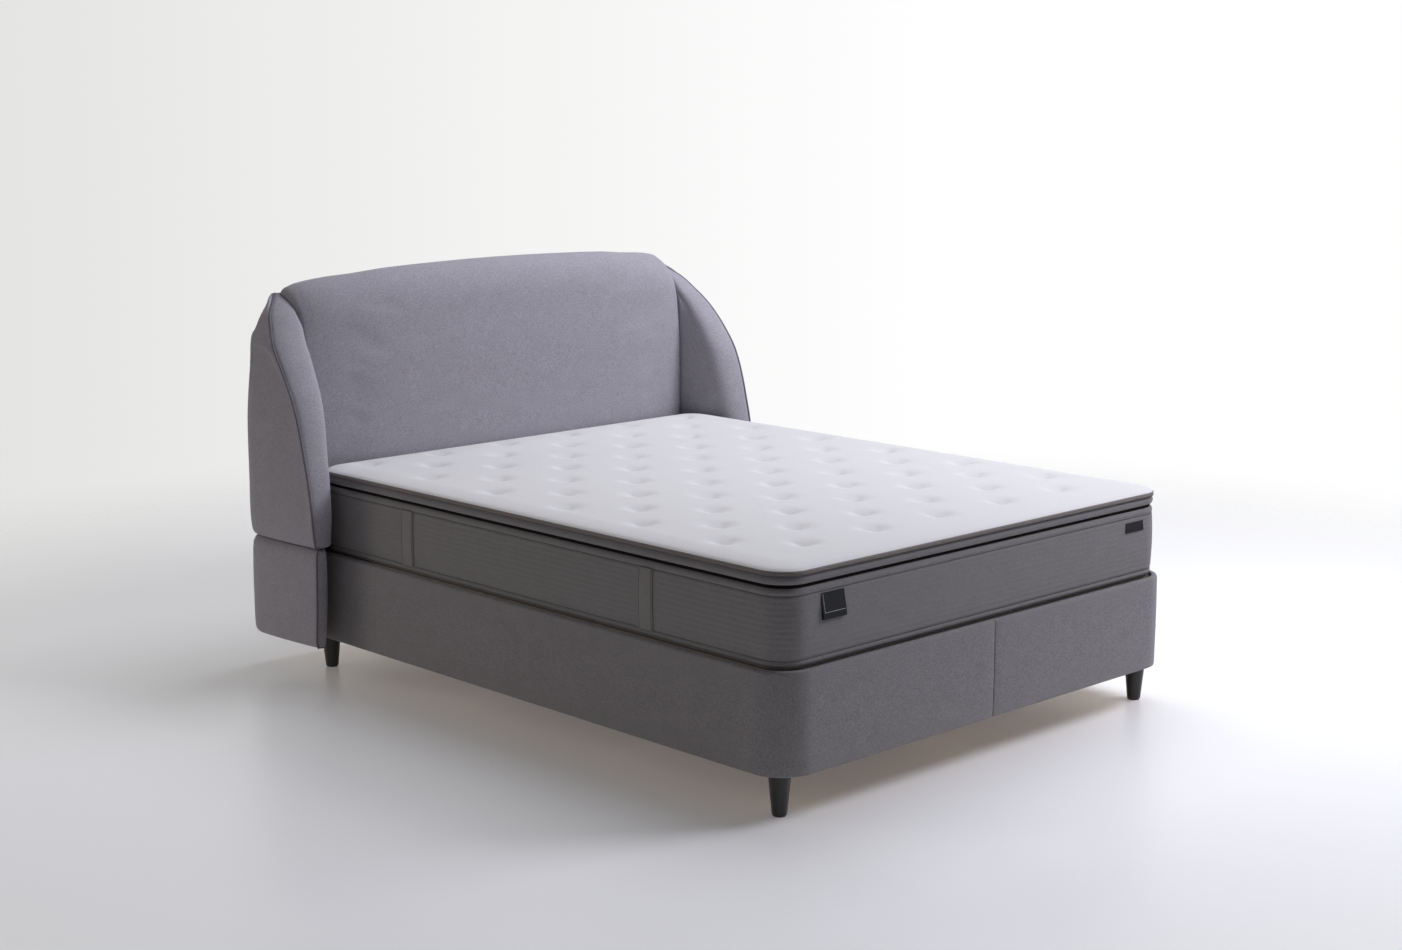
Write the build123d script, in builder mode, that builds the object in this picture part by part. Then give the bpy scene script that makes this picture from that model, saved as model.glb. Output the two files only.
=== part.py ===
"""Upholstered storage bed with a lift-up platform, a winged headboard and a pillow-top mattress.

Millimetres. X runs across the bed, +Y towards the headboard, +Z up. The origin is on the floor,
midway along and across the whole bed. Left and right are seen from the foot end.
"""
from build123d import *
import os
from math import atan2, cos, hypot, radians, sin

os.makedirs("parts", exist_ok=True)

# Driving dimensions: mattress
mattress_width = 1594.0
mattress_length = 1994.0
mattress_side_height = 258.0
mattress_crown = 16.0
mattress_corner_radius = 85.0

# Driving dimensions: storage base
rim_gap = 4.0
panel_thickness = 12.0
cover_thickness = 4.0
cushion_room = 80.0
base_height = 270.0
mattress_recess = 12.0
leg_height = 114.0
base_corner_radius = 105.0

# Driving dimensions: headboard
headboard_height = 1232.0
headboard_depth = 126.0
wing_beyond_mattress = 148.0
wing_thickness = 160.0
wing_reach = 382.0

# Driving dimensions: lift linkage
main_pivot_from_foot = 1480.0
main_pivot_over_floor_panel = 52.0
main_arm_length = 260.0
main_arm_rest_angle = 30.0

# Fits shared by every piece
fit_gap = 0.3
running_gap = 0.05
overrun = 10.0

# Places worked out from the driving dimensions
wall = panel_thickness + cover_thickness
base_width = mattress_width + 2 * (rim_gap + wall)
base_length = wall + rim_gap + mattress_length + cushion_room
headboard_half_width = mattress_width / 2 + wing_beyond_mattress
centre_cushion_half_width = headboard_half_width - wing_thickness
overall_length = base_length + headboard_depth
foot_y = -overall_length / 2
back_y = overall_length / 2
base_rear_y = foot_y + base_length
base_bottom = leg_height
base_top = base_bottom + base_height
seat_z = base_top - mattress_recess
inner_x = base_width / 2 - wall
sides = (("left", -1), ("right", 1))


def keep(piece, label):
    """Name one finished piece and write it."""
    piece.part.label = label
    export_step(piece.part, f"parts/{label}.step")


def block(x, y, z, mode=Mode.ADD):
    """A box between two corners, each axis given as its low and high value."""
    with Locations(((x[0] + x[1]) / 2, (y[0] + y[1]) / 2, (z[0] + z[1]) / 2)):
        Box(x[1] - x[0], y[1] - y[0], z[1] - z[0], mode=mode)


def across(start, end, sign):
    """The low and high X of a piece on one side of the bed."""
    return tuple(sorted((sign * start, sign * end)))


def round_bar(start, axis, radius, length, mode=Mode.ADD):
    """A cylinder from a point along a row axis, backwards if its length is negative."""
    turn = {"X": (0, 90, 0), "Y": (-90, 0, 0), "Z": (0, 0, 0)}[axis]
    along = {"X": (1, 0, 0), "Y": (0, 1, 0), "Z": (0, 0, 1)}[axis]
    middle = tuple(place + share * length / 2 for place, share in zip(start, along))
    with Locations(Location(middle, turn)):
        Cylinder(radius, abs(length), mode=mode)


def rounded_slab(x, y, z, radius, mode=Mode.ADD):
    """A box between two corners with rounded upright edges."""
    with BuildSketch(Plane.XY.offset(z[0])) as plan:
        with Locations(((x[0] + x[1]) / 2, (y[0] + y[1]) / 2)):
            RectangleRounded(x[1] - x[0], y[1] - y[0], radius)
    extrude(plan.sketch, amount=z[1] - z[0], mode=mode)


# Lift linkage, places in the side plane: pivots, and layers counted inwards from the side panel
floor_board_thickness = 18.0
floor_panel_thickness = 6.0
floor_top = base_bottom + floor_board_thickness + floor_panel_thickness
main_pivot = (foot_y + main_pivot_from_foot, floor_top + main_pivot_over_floor_panel)
platform_pivot = (
    main_pivot[0] + main_arm_length * cos(radians(main_arm_rest_angle)),
    main_pivot[1] + main_arm_length * sin(radians(main_arm_rest_angle)),
)
front_pivot_footward = 88.12
front_pivot_drop = 12.26
front_pivot = (main_pivot[0] - front_pivot_footward, main_pivot[1] - front_pivot_drop)
front_tab_footward = 65.17
front_tab_drop = 20.0
front_tab_pivot = (platform_pivot[0] - front_tab_footward, platform_pivot[1] - front_tab_drop)
gas_pivot_headward = 213.7
gas_pivot_rise = 26.6
gas_pivot = (main_pivot[0] + gas_pivot_headward, main_pivot[1] + gas_pivot_rise)
gas_lever_headward = 25.8
gas_lever_rise = 55.5
gas_lever = (main_pivot[0] + gas_lever_headward, main_pivot[1] + gas_lever_rise)

base_plate_thickness = 4.0
arm_thickness = 5.0
layer_gap = 1.0
gas_socket_length = 14.0
main_arm_layer = base_plate_thickness + layer_gap
platform_plate_layer = main_arm_layer + arm_thickness + layer_gap
gas_socket_layer = platform_plate_layer + 2 * layer_gap
gas_centre_layer = gas_socket_layer + gas_socket_length / 2
front_arm_layer = gas_socket_layer + gas_socket_length + 3 * layer_gap
front_tab_layer = front_arm_layer + arm_thickness + layer_gap
pivot_pin_radius = 5.0
pin_head_radius = 8.0
pin_head_thickness = 2.0
arm_end_radius = 15.0
base_plate_margin = 22.0
screw_radius = 2.0
screw_length = 10.0
screw_head_radius = 4.5
screw_head_thickness = 3.0
plate_screw_offset = 34.0
plate_screw_rise = 24.0
plate_screw_places = [
    (front_pivot[0] + plate_screw_offset, front_pivot[1] - plate_screw_rise / 2),
    (main_pivot[0] + plate_screw_offset, main_pivot[1] - plate_screw_rise / 2),
    (gas_pivot[0] - plate_screw_offset, gas_pivot[1] - plate_screw_rise),
    (gas_pivot[0] - plate_screw_offset, gas_pivot[1] + plate_screw_rise / 2),
]

# Storage base, plywood box: straight panels, with bent ones at the two foot corners
panel_top = base_top - cover_thickness
panel_outer_x = base_width / 2 - cover_thickness
panel_outer_y = foot_y + cover_thickness
foot_inner_y = foot_y + wall
head_panel_front_y = base_rear_y - panel_thickness
corner_centre_x = base_width / 2 - base_corner_radius
corner_centre_y = foot_y + base_corner_radius
panel_outer_radius = base_corner_radius - cover_thickness
panel_inner_radius = panel_outer_radius - panel_thickness
timber_width = 45.0
panel_joint_gap = 0.1
bottom_rail_rise = 40.0
frame_top_share = 0.8442
frame_top = frame_top_share * headboard_height
rail_bottoms = {
    "bottom": base_bottom + bottom_rail_rise,
    "middle": base_top - timber_width,
    "top": frame_top - timber_width,
}
headboard_bolt_radius = 4.0
headboard_bolt_from_side = 60.0
headboard_bolt_places = [
    (sign * (inner_x - headboard_bolt_from_side), rail_bottoms[level] + timber_width / 2)
    for _, sign in sides for level in ("bottom", "middle")
]


def base_outline(half_width, front_y, radius, rear_y):
    """The plan of the base: square at the head, rounded at the two foot corners."""
    with Locations((0, front_y)):
        outline = Rectangle(2 * half_width, rear_y - front_y, align=(Align.CENTER, Align.MIN))
    fillet(outline.vertices().group_by(Axis.Y)[0], radius)


def base_side_panels():
    with BuildPart() as panels:
        for _, sign in sides:
            block(across(inner_x, panel_outer_x, sign), (corner_centre_y, base_rear_y),
                  (base_bottom, panel_top))
            for y, z in plate_screw_places:
                round_bar((sign * inner_x, y, z), "X", screw_radius + running_gap,
                          sign * (screw_length + layer_gap), mode=Mode.SUBTRACT)
    keep(panels, "base_side_panels")


def base_foot_panels():
    """Two straight panels and a bent one at each corner."""
    reach = panel_outer_radius + overrun
    with BuildPart() as panels:
        for _, sign in sides:
            with BuildSketch(Plane.XY.offset(base_bottom)):
                with Locations((sign * corner_centre_x, corner_centre_y)):
                    Circle(panel_outer_radius)
                    Circle(panel_inner_radius, mode=Mode.SUBTRACT)
            extrude(amount=panel_top - base_bottom)
            x = across(corner_centre_x - reach, corner_centre_x, sign)
            block(x, (foot_y - overrun, corner_centre_y + reach), (base_bottom, base_top),
                  mode=Mode.SUBTRACT)
            x = across(corner_centre_x, corner_centre_x + reach, sign)
            block(x, (corner_centre_y, corner_centre_y + reach), (base_bottom, base_top),
                  mode=Mode.SUBTRACT)
            block(across(panel_joint_gap, corner_centre_x - panel_joint_gap, sign),
                  (panel_outer_y, foot_inner_y), (base_bottom, panel_top))
    keep(panels, "base_foot_panels")


def base_head_panel():
    with BuildPart() as panel:
        block((-inner_x, inner_x), (head_panel_front_y, base_rear_y), (base_bottom, panel_top))
        for x, z in headboard_bolt_places:
            round_bar((x, head_panel_front_y - overrun, z), "Y",
                      headboard_bolt_radius + running_gap, panel_thickness + 2 * overrun,
                      mode=Mode.SUBTRACT)
    keep(panel, "base_head_panel")


# Storage base, upholstery: one padded cover for each half, butted at the middle of the foot
cover_edge_radius = 9.0
cover_seam_radius = 3.0


def base_covers():
    for side, sign in sides:
        with BuildPart() as cover:
            with BuildSketch(Plane.XY.offset(base_bottom)):
                base_outline(base_width / 2, foot_y, base_corner_radius, base_rear_y)
            extrude(amount=base_height)
            fillet(cover.edges().group_by(Axis.Z)[-1].sort_by(Axis.Y)[:-1], cover_edge_radius)
            with BuildSketch(Plane.XY.offset(base_bottom)):
                base_outline(panel_outer_x + fit_gap, panel_outer_y - fit_gap,
                             panel_outer_radius + fit_gap, base_rear_y + overrun)
            extrude(amount=panel_top + fit_gap - base_bottom, mode=Mode.SUBTRACT)
            with BuildSketch(Plane.XY.offset(base_bottom)):
                base_outline(inner_x, foot_inner_y, panel_inner_radius, base_rear_y + overrun)
            extrude(amount=base_height + overrun, mode=Mode.SUBTRACT)
            block(across(0, -base_width, sign), (foot_y - overrun, back_y),
                  (base_bottom - overrun, base_top + overrun), mode=Mode.SUBTRACT)
            seam = cover.edges().filter_by(Axis.Z).group_by(Axis.Y)[0]
            fillet(seam.sort_by(Axis.X)[0 if sign > 0 else -1], cover_seam_radius)
        keep(cover, f"base_cover_{side}")


# Storage base, floor: corner boards, edge boards, cross boards and a centre board carry the floor
corner_board_size = 180.0
edge_board_width = 40.0
centre_board_width = 60.0
cross_board_width = 60.0
cross_board_shares = (1 / 3, 2 / 3)
leg_inset = 65.0
leg_inset_y = 72.0
leg_stud_radius = 4.0
tee_nut_radius = 6.0
tee_nut_flange_radius = 11.0
tee_nut_flange = 1.5
board_top = base_bottom + floor_board_thickness
leg_places = {
    "foot_left": (-(base_width / 2 - leg_inset), foot_y + leg_inset_y),
    "foot_right": (base_width / 2 - leg_inset, foot_y + leg_inset_y),
    "head_left": (-(base_width / 2 - leg_inset), base_rear_y - leg_inset_y),
    "head_right": (base_width / 2 - leg_inset, base_rear_y - leg_inset_y),
}


def base_floor_boards():
    """Corner boards for the legs, and edge, cross and centre boards for the floor."""
    side_y = (foot_inner_y + corner_board_size, head_panel_front_y - corner_board_size)
    end_x = inner_x - corner_board_size
    span = head_panel_front_y - foot_inner_y
    z = (base_bottom, board_top)
    with BuildPart() as boards:
        for _, sign in sides:
            x = across(inner_x - corner_board_size, inner_x, sign)
            block(x, (foot_inner_y, foot_inner_y + corner_board_size), z)
            block(x, (head_panel_front_y - corner_board_size, head_panel_front_y), z)
        uprights = boards.edges().filter_by(Axis.Z).group_by(Axis.Y)[0]
        fillet([uprights.sort_by(Axis.X)[0], uprights.sort_by(Axis.X)[-1]],
               panel_inner_radius + fit_gap)
        for x, y in leg_places.values():
            round_bar((x, y, base_bottom - overrun), "Z", tee_nut_radius + running_gap,
                      floor_board_thickness + 2 * overrun, mode=Mode.SUBTRACT)
            round_bar((x, y, board_top - tee_nut_flange), "Z",
                      tee_nut_flange_radius + running_gap, overrun, mode=Mode.SUBTRACT)
        for _, sign in sides:
            block(across(inner_x - edge_board_width, inner_x, sign),
                  (side_y[0] + panel_joint_gap, side_y[1] - panel_joint_gap), z)
            x = across(centre_board_width / 2 + panel_joint_gap, end_x - panel_joint_gap, sign)
            block(x, (foot_inner_y, foot_inner_y + edge_board_width), z)
            block(x, (head_panel_front_y - edge_board_width, head_panel_front_y), z)
            x = across(centre_board_width / 2 + panel_joint_gap,
                       inner_x - edge_board_width - panel_joint_gap, sign)
            for share in cross_board_shares:
                middle = foot_inner_y + share * span
                block(x, (middle - cross_board_width / 2, middle + cross_board_width / 2), z)
        block((-centre_board_width / 2, centre_board_width / 2),
              (foot_inner_y, head_panel_front_y), z)
    keep(boards, "base_floor_boards")


def base_floor_panels():
    with BuildPart() as panels:
        for _, sign in sides:
            block(across(panel_joint_gap, inner_x, sign), (foot_inner_y, head_panel_front_y),
                  (board_top, floor_top))
        corners = panels.edges().filter_by(Axis.Z).group_by(Axis.Y)[0].sort_by(Axis.X)
        fillet([corners[0], corners[-1]], panel_inner_radius + fit_gap)
    keep(panels, "base_floor_panels")


# Legs: four turned tapered ones at the corners, and two plain ones under the centre board
leg_top_radius = 30.0
leg_bottom_radius = 19.5
leg_foot_radius = 2.0
glide_thickness = 3.0
glide_radius = 17.0
leg_stud_depth = 40.0
centre_leg_radius = 20.0
centre_leg_shares = (0.35, 0.7)


def corner_legs():
    with BuildPart() as legs:
        for x, y in leg_places.values():
            with BuildSketch(Plane.XY.offset(glide_thickness)):
                with Locations((x, y)):
                    Circle(leg_bottom_radius)
            with BuildSketch(Plane.XY.offset(leg_height)):
                with Locations((x, y)):
                    Circle(leg_top_radius)
            loft()
        fillet(legs.edges().group_by(Axis.Z)[0], leg_foot_radius)
        for x, y in leg_places.values():
            round_bar((x, y, leg_height - leg_stud_depth), "Z", leg_stud_radius + running_gap,
                      leg_stud_depth + overrun, mode=Mode.SUBTRACT)
    keep(legs, "corner_legs")


def centre_leg_places():
    span = head_panel_front_y - foot_inner_y
    return [(0, foot_inner_y + share * span) for share in centre_leg_shares]


def centre_legs():
    with BuildPart() as group:
        for x, y in centre_leg_places():
            round_bar((x, y, glide_thickness), "Z", centre_leg_radius,
                      leg_height - glide_thickness)
    keep(group, "centre_legs")


def leg_glides():
    with BuildPart() as glides:
        for x, y in [*leg_places.values(), *centre_leg_places()]:
            round_bar((x, y, 0), "Z", glide_radius, glide_thickness)
    keep(glides, "leg_glides")


def leg_studs():
    with BuildPart() as studs:
        for x, y in leg_places.values():
            round_bar((x, y, leg_height - leg_stud_depth + leg_stud_radius), "Z", leg_stud_radius,
                      leg_stud_depth - leg_stud_radius + floor_board_thickness - fit_gap)
    keep(studs, "leg_studs")


def leg_tee_nuts():
    with BuildPart() as nuts:
        for x, y in leg_places.values():
            round_bar((x, y, base_bottom + fit_gap), "Z", tee_nut_radius,
                      floor_board_thickness - fit_gap)
            round_bar((x, y, board_top - tee_nut_flange), "Z", tee_nut_flange_radius,
                      tee_nut_flange)
            round_bar((x, y, base_bottom), "Z", leg_stud_radius + running_gap,
                      floor_board_thickness + overrun, mode=Mode.SUBTRACT)
    keep(nuts, "leg_tee_nuts")


# Corner brackets: steel angles that tie the head panel to the side panels
bracket_leg = 45.0
bracket_thickness = 3.0
bracket_height = 120.0
bracket_rise = 70.0
bracket_screw_shares = (0.25, 0.75)


bracket_screw_places = [floor_top + bracket_rise + share * bracket_height
                        for share in bracket_screw_shares]


def corner_brackets():
    z = (floor_top + bracket_rise, floor_top + bracket_rise + bracket_height)
    with BuildPart() as brackets:
        for _, sign in sides:
            block(across(inner_x - bracket_thickness, inner_x, sign),
                  (head_panel_front_y - bracket_leg, head_panel_front_y), z)
            block(across(inner_x - bracket_leg, inner_x, sign),
                  (head_panel_front_y - bracket_thickness, head_panel_front_y), z)
    keep(brackets, "base_corner_brackets")


def bracket_screws():
    """Round heads on the brackets; their threads end in the brackets, not in the boards."""
    with BuildPart() as screws:
        for _, sign in sides:
            for z in bracket_screw_places:
                face_x = sign * (inner_x - bracket_thickness)
                round_bar((face_x, head_panel_front_y - bracket_leg / 2, z), "X",
                          screw_head_radius, -sign * screw_head_thickness)
                round_bar((sign * (inner_x - bracket_leg / 2),
                           head_panel_front_y - bracket_thickness, z), "Y",
                          screw_head_radius, -screw_head_thickness)
    keep(screws, "base_bracket_screws")


# Headboard frame: timber ladder behind the base, with thin boards in front and behind
rear_padding = 16.0
frame_depth = headboard_depth - rear_padding
front_board_thickness = 8.0
back_board_thickness = 4.0
back_cloth_thickness = 3.0
wing_board_thickness = 18.0
frame_front_y = base_rear_y
frame_back_y = base_rear_y + frame_depth
post_outer_x = base_width / 2 + timber_width
wing_board_outer_x = post_outer_x + wing_board_thickness
front_board_y = frame_front_y - front_board_thickness
front_board_bottom = base_top + 2 * cover_thickness
stud_shares = (-1 / 3, 1 / 3)


wing_bolt_radius = 4.0
wing_bolt_head_radius = 7.5
wing_bolt_head = 2.5
wing_bolt_depth = 30.0
wing_bolt_shares = (0.15, 0.5, 0.85)
wing_bolt_heights = [base_bottom + share * (frame_top - base_bottom)
                     for share in wing_bolt_shares]
wing_bolt_y = frame_front_y + frame_depth / 2


def headboard_uprights():
    """An outer post each side and two studs between the rails."""
    half = post_outer_x - timber_width
    with BuildPart() as uprights:
        for _, sign in sides:
            block(across(half, post_outer_x, sign), (frame_front_y, frame_back_y),
                  (base_bottom, frame_top))
            for z in wing_bolt_heights:
                round_bar((sign * (post_outer_x + overrun), wing_bolt_y, z), "X",
                          wing_bolt_radius + running_gap,
                          -sign * (wing_bolt_depth + overrun + layer_gap), mode=Mode.SUBTRACT)
        for share in stud_shares:
            x = (share * half - timber_width / 2, share * half + timber_width / 2)
            block(x, (frame_front_y, frame_back_y),
                  (rail_bottoms["middle"] + timber_width, rail_bottoms["top"]))
    keep(uprights, "headboard_uprights")


def headboard_rails():
    half = post_outer_x - timber_width
    with BuildPart() as rails:
        for bottom in rail_bottoms.values():
            block((-half, half), (frame_front_y, frame_back_y), (bottom, bottom + timber_width))
        for x, z in headboard_bolt_places:
            round_bar((x, frame_front_y - overrun, z), "Y",
                      headboard_bolt_radius + running_gap, frame_depth + 2 * overrun,
                      mode=Mode.SUBTRACT)
    keep(rails, "headboard_rails")


def headboard_boards():
    with BuildPart() as front:
        block((-post_outer_x, post_outer_x), (front_board_y, frame_front_y),
              (front_board_bottom, frame_top))
    keep(front, "headboard_front_board")
    with BuildPart() as back:
        block((-post_outer_x, post_outer_x), (frame_back_y, frame_back_y + back_board_thickness),
              (base_bottom, frame_top))
    keep(back, "headboard_back_board")
    with BuildPart() as cloth:
        y = frame_back_y + back_board_thickness
        block((-centre_cushion_half_width + fit_gap, centre_cushion_half_width - fit_gap),
              (y, y + back_cloth_thickness), (base_bottom, frame_top))
    keep(cloth, "headboard_back_cloth")


headboard_bolt_head_radius = 7.0
headboard_bolt_head = 5.0
headboard_washer_radius = 12.0
headboard_washer = 2.0


def headboard_bolts():
    """Flanged bolts through the base's head panel into the bottom and middle rails."""
    with BuildPart() as bolts:
        for x, z in headboard_bolt_places:
            round_bar((x, head_panel_front_y - headboard_washer, z), "Y", headboard_bolt_radius,
                      headboard_washer + panel_thickness + frame_depth - fit_gap)
            round_bar((x, head_panel_front_y, z), "Y", headboard_washer_radius,
                      -headboard_washer)
            round_bar((x, head_panel_front_y - headboard_washer, z), "Y",
                      headboard_bolt_head_radius, -headboard_bolt_head)
    keep(bolts, "headboard_bolts")


# Wings: a plywood cheek each side, padded outside, in front and inside
pad_over_board_edge = 45.0
wing_board_low = 12.0
wing_piping_radius = 3.5
wing_piping_inset = 3.0

# Outline of the wing pads at each height, chosen by hand. Heights are shares of the headboard's
# height, front edges and rear edges of the wing's reach, measured from the back, and widths of
# the headboard's half width: height, front, rear, rear corner, widest, piping, face, roll, lead.
# The lead is how far the roll stands in front of the piping.
upper_wing_shares = (
    (0.3415, 0.9725, 0.0081, 0.2000, 0.9780, 0.9651, 0.0317, 0.0480, 0.0000),
    (0.3545, 0.9908, 0.0021, 0.2199, 0.9910, 0.9762, 0.0317, 0.0580, 0.0000),
    (0.4060, 0.9856, 0.0000, 0.2351, 0.9990, 0.9804, 0.0381, 0.0630, 0.0000),
    (0.4990, 0.9450, 0.0000, 0.2351, 1.0000, 0.9815, 0.0466, 0.0630, 0.0021),
    (0.5682, 0.8927, 0.0000, 0.2351, 1.0000, 0.9815, 0.0529, 0.0630, 0.0042),
    (0.6331, 0.8364, 0.0000, 0.2351, 0.9995, 0.9810, 0.0614, 0.0614, 0.0085),
    (0.6981, 0.7537, 0.0000, 0.2351, 0.9931, 0.9799, 0.0698, 0.0571, 0.0148),
    (0.7630, 0.6115, 0.0000, 0.2351, 0.9804, 0.9746, 0.0783, 0.0487, 0.0233),
    (0.8117, 0.4772, 0.0000, 0.2351, 0.9683, 0.9661, 0.0847, 0.0381, 0.0317),
    (0.8604, 0.3327, 0.0026, 0.2304, 0.9444, 0.9423, 0.0825, 0.0254, 0.0360),
    (0.8929, 0.2296, 0.0052, 0.1963, 0.9259, 0.9180, 0.0698, 0.0148, 0.0360),
    (0.9172, 0.1450, 0.0105, 0.1178, 0.9069, 0.8921, 0.0487, 0.0085, 0.0275),
    (0.9334, 0.0785, 0.0157, 0.0471, 0.8857, 0.8688, 0.0296, 0.0053, 0.0106),
)
lower_wing_shares = (
    (0.0900, 0.930, 0.026, 0.18, 0.972, 0.952, 0.006, 0.036, 0),
    (0.0945, 0.952, 0.016, 0.20, 0.984, 0.964, 0.006, 0.048, 0),
    (0.1080, 0.960, 0.004, 0.22, 0.993, 0.972, 0.006, 0.056, 0),
    (0.2150, 0.992, 0.000, 0.235, 0.996, 0.975, 0.008, 0.058, 0),
    (0.3220, 0.998, 0.002, 0.22, 0.990, 0.973, 0.008, 0.056, 0),
    (0.3400, 0.980, 0.008, 0.20, 0.978, 0.963, 0.006, 0.048, 0),
)
outer_bulge_share = 0.25
crease_behind_front_share = 0.01
crease_before_base_rear = 31.0
inner_crease_y = base_rear_y - crease_before_base_rear
lower_pad_inner_share = 0.907
behind_boards_y = frame_back_y + back_board_thickness
cheek_rear_y = behind_boards_y - 2 * back_board_thickness


def wing_section(row, inner):
    """One closed plan outline of the right wing's padding."""
    height, front, rear, corner, widest, piping, face, roll, lead = row
    front_y = back_y - front * wing_reach
    roll_y = front_y - lead * headboard_half_width
    rear_y = back_y - rear * wing_reach
    radius = corner * wing_reach
    wide = widest * headboard_half_width
    edge = piping * headboard_half_width
    face_end = edge - face * headboard_half_width
    turn = roll * headboard_half_width
    crease_y = max(inner_crease_y, roll_y + turn + crease_behind_front_share * wing_reach)
    diagonal = 1 - cos(radians(45))
    rear_inner = centre_cushion_half_width + fit_gap
    step = [(inner, cheek_rear_y), (rear_inner, cheek_rear_y)] if inner > rear_inner else []
    with BuildSketch(Plane.XY.offset(height * headboard_height)) as section:
        with BuildLine():
            Line((edge, front_y), (face_end, roll_y))
            ThreePointArc((face_end, roll_y),
                          (face_end - turn * (1 - diagonal), roll_y + turn * diagonal),
                          (face_end - turn, roll_y + turn))
            Polyline((face_end - turn, roll_y + turn), (inner, crease_y), *step,
                     (rear_inner, rear_y), (wide - radius, rear_y))
            ThreePointArc((wide - radius, rear_y),
                          (wide - radius * diagonal, rear_y - radius * diagonal),
                          (wide, rear_y - radius))
            ThreePointArc((wide, rear_y - radius),
                          ((wide + edge) / 2 + (wide - edge) * outer_bulge_share,
                           (rear_y - radius + front_y) / 2),
                          (edge, front_y))
        make_face()
    return section.sketch


def wing_form(rows, inner):
    """The whole padding of the right wing between the first and last outline."""
    with BuildPart() as form:
        loft([wing_section(row, inner) for row in rows], ruled=True)
    return form.part


def outer_pad_room(rows, gap):
    """The space of the outer pad: outside the cheek board, and behind the frame."""
    inmost = inner_x - 2 * wall
    behind = behind_boards_y + fit_gap - gap
    with BuildPart() as room:
        for row in rows:
            front_y = back_y - row[1] * wing_reach
            edge = row[5] * headboard_half_width - wing_piping_inset - gap
            board_x = min(wing_board_outer_x + fit_gap, edge - wing_board_thickness) - gap
            board_y = min(front_y + pad_over_board_edge, cheek_rear_y) - gap
            with BuildSketch(Plane.XY.offset(row[0] * headboard_height)):
                with BuildLine():
                    Polyline((edge, front_y - wall), (edge, front_y), (board_x, board_y),
                             (board_x, behind), (inmost, behind), (inmost, back_y + wall),
                             (headboard_half_width + wall, back_y + wall),
                             (headboard_half_width + wall, front_y - wall), close=True)
                make_face()
        loft(ruled=True)
    return room.part


def cheek_space(grow, bottom, top):
    """The plywood cheek of the right wing, grown by a clearance."""
    with BuildPart() as space:
        for row in (*lower_wing_shares[:-1], *upper_wing_shares[2:]):
            board_y = min(back_y - row[1] * wing_reach + pad_over_board_edge, cheek_rear_y)
            with BuildSketch(Plane.XY.offset(row[0] * headboard_height)):
                with BuildLine():
                    Polyline((post_outer_x - grow, board_y - grow),
                             (wing_board_outer_x + grow, board_y - grow),
                             (wing_board_outer_x + grow, behind_boards_y + grow),
                             (post_outer_x - grow, behind_boards_y + grow), close=True)
                make_face()
        loft(ruled=True)
        block((0, base_width), (foot_y, back_y), (bottom, top), mode=Mode.INTERSECT)
    return space.part


def frame_space():
    """The room of the posts and the front board beside the right wing's padding."""
    with BuildPart() as space:
        block((0, post_outer_x + fit_gap), (front_board_y - fit_gap, behind_boards_y + fit_gap),
              (0, frame_top + fit_gap))
    return space.part


def wing_pads():
    cheek_room = cheek_space(fit_gap, 0, frame_top + fit_gap)
    frame_room = frame_space()
    for level, rows, inner in (
        ("upper", upper_wing_shares, centre_cushion_half_width + fit_gap),
        ("lower", lower_wing_shares, lower_pad_inner_share * headboard_half_width),
    ):
        form = wing_form(rows, inner)
        with BuildPart() as outer:
            add(form)
            add(outer_pad_room(rows, 0), mode=Mode.INTERSECT)
            add(cheek_room, mode=Mode.SUBTRACT)
        with BuildPart() as front:
            add(form)
            add(outer_pad_room(rows, fit_gap), mode=Mode.SUBTRACT)
            add(cheek_room, mode=Mode.SUBTRACT)
            add(frame_room, mode=Mode.SUBTRACT)
        for piece, pad in ((outer, "outer"), (front, "front")):
            keep(piece, f"wing_{pad}_pad_{level}_right")
            with BuildPart() as twin:
                mirror(piece.part, about=Plane.YZ)
            keep(twin, f"wing_{pad}_pad_{level}_left")


def wing_boards():
    board = cheek_space(0, base_bottom + wing_board_low, frame_top)
    with BuildPart() as boards:
        add(board)
        mirror(board, about=Plane.YZ)
        for _, sign in sides:
            for z in wing_bolt_heights:
                round_bar((sign * (wing_board_outer_x + overrun), wing_bolt_y, z), "X",
                          wing_bolt_radius + running_gap,
                          -sign * (wing_board_thickness + 2 * overrun), mode=Mode.SUBTRACT)
                round_bar((sign * (wing_board_outer_x + overrun), wing_bolt_y, z), "X",
                          wing_bolt_head_radius + running_gap,
                          -sign * (overrun + wing_bolt_head + fit_gap), mode=Mode.SUBTRACT)
    keep(boards, "wing_boards")


def wing_bolts():
    """Flat-headed bolts sunk in the cheeks, three into each post."""
    with BuildPart() as bolts:
        for _, sign in sides:
            for z in wing_bolt_heights:
                head_x = sign * (wing_board_outer_x - fit_gap)
                round_bar((head_x, wing_bolt_y, z), "X", wing_bolt_head_radius,
                          -sign * wing_bolt_head)
                round_bar((head_x, wing_bolt_y, z), "X", wing_bolt_radius,
                          -sign * (wing_board_thickness + wing_bolt_depth))
    keep(bolts, "wing_bolts")


def wing_pipings():
    """Covered cord in the seam along the front edge of each wing."""
    rows = (*lower_wing_shares[1:-1], *upper_wing_shares[1:])
    for side, sign in sides:
        points = [(sign * row[5] * headboard_half_width, back_y - row[1] * wing_reach,
                   row[0] * headboard_height) for row in rows]
        before = [points[0], *points[:-1]]
        after = [*points[1:], points[-1]]
        with BuildPart() as piping:
            for point, last, following in zip(points, before, after):
                along = tuple(end - start for start, end in zip(last, following))
                with BuildSketch(Plane(origin=point, x_dir=(sign, 0, 0), z_dir=along)):
                    Circle(wing_piping_radius)
            loft(ruled=True)
        keep(piping, f"wing_piping_{side}")


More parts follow.
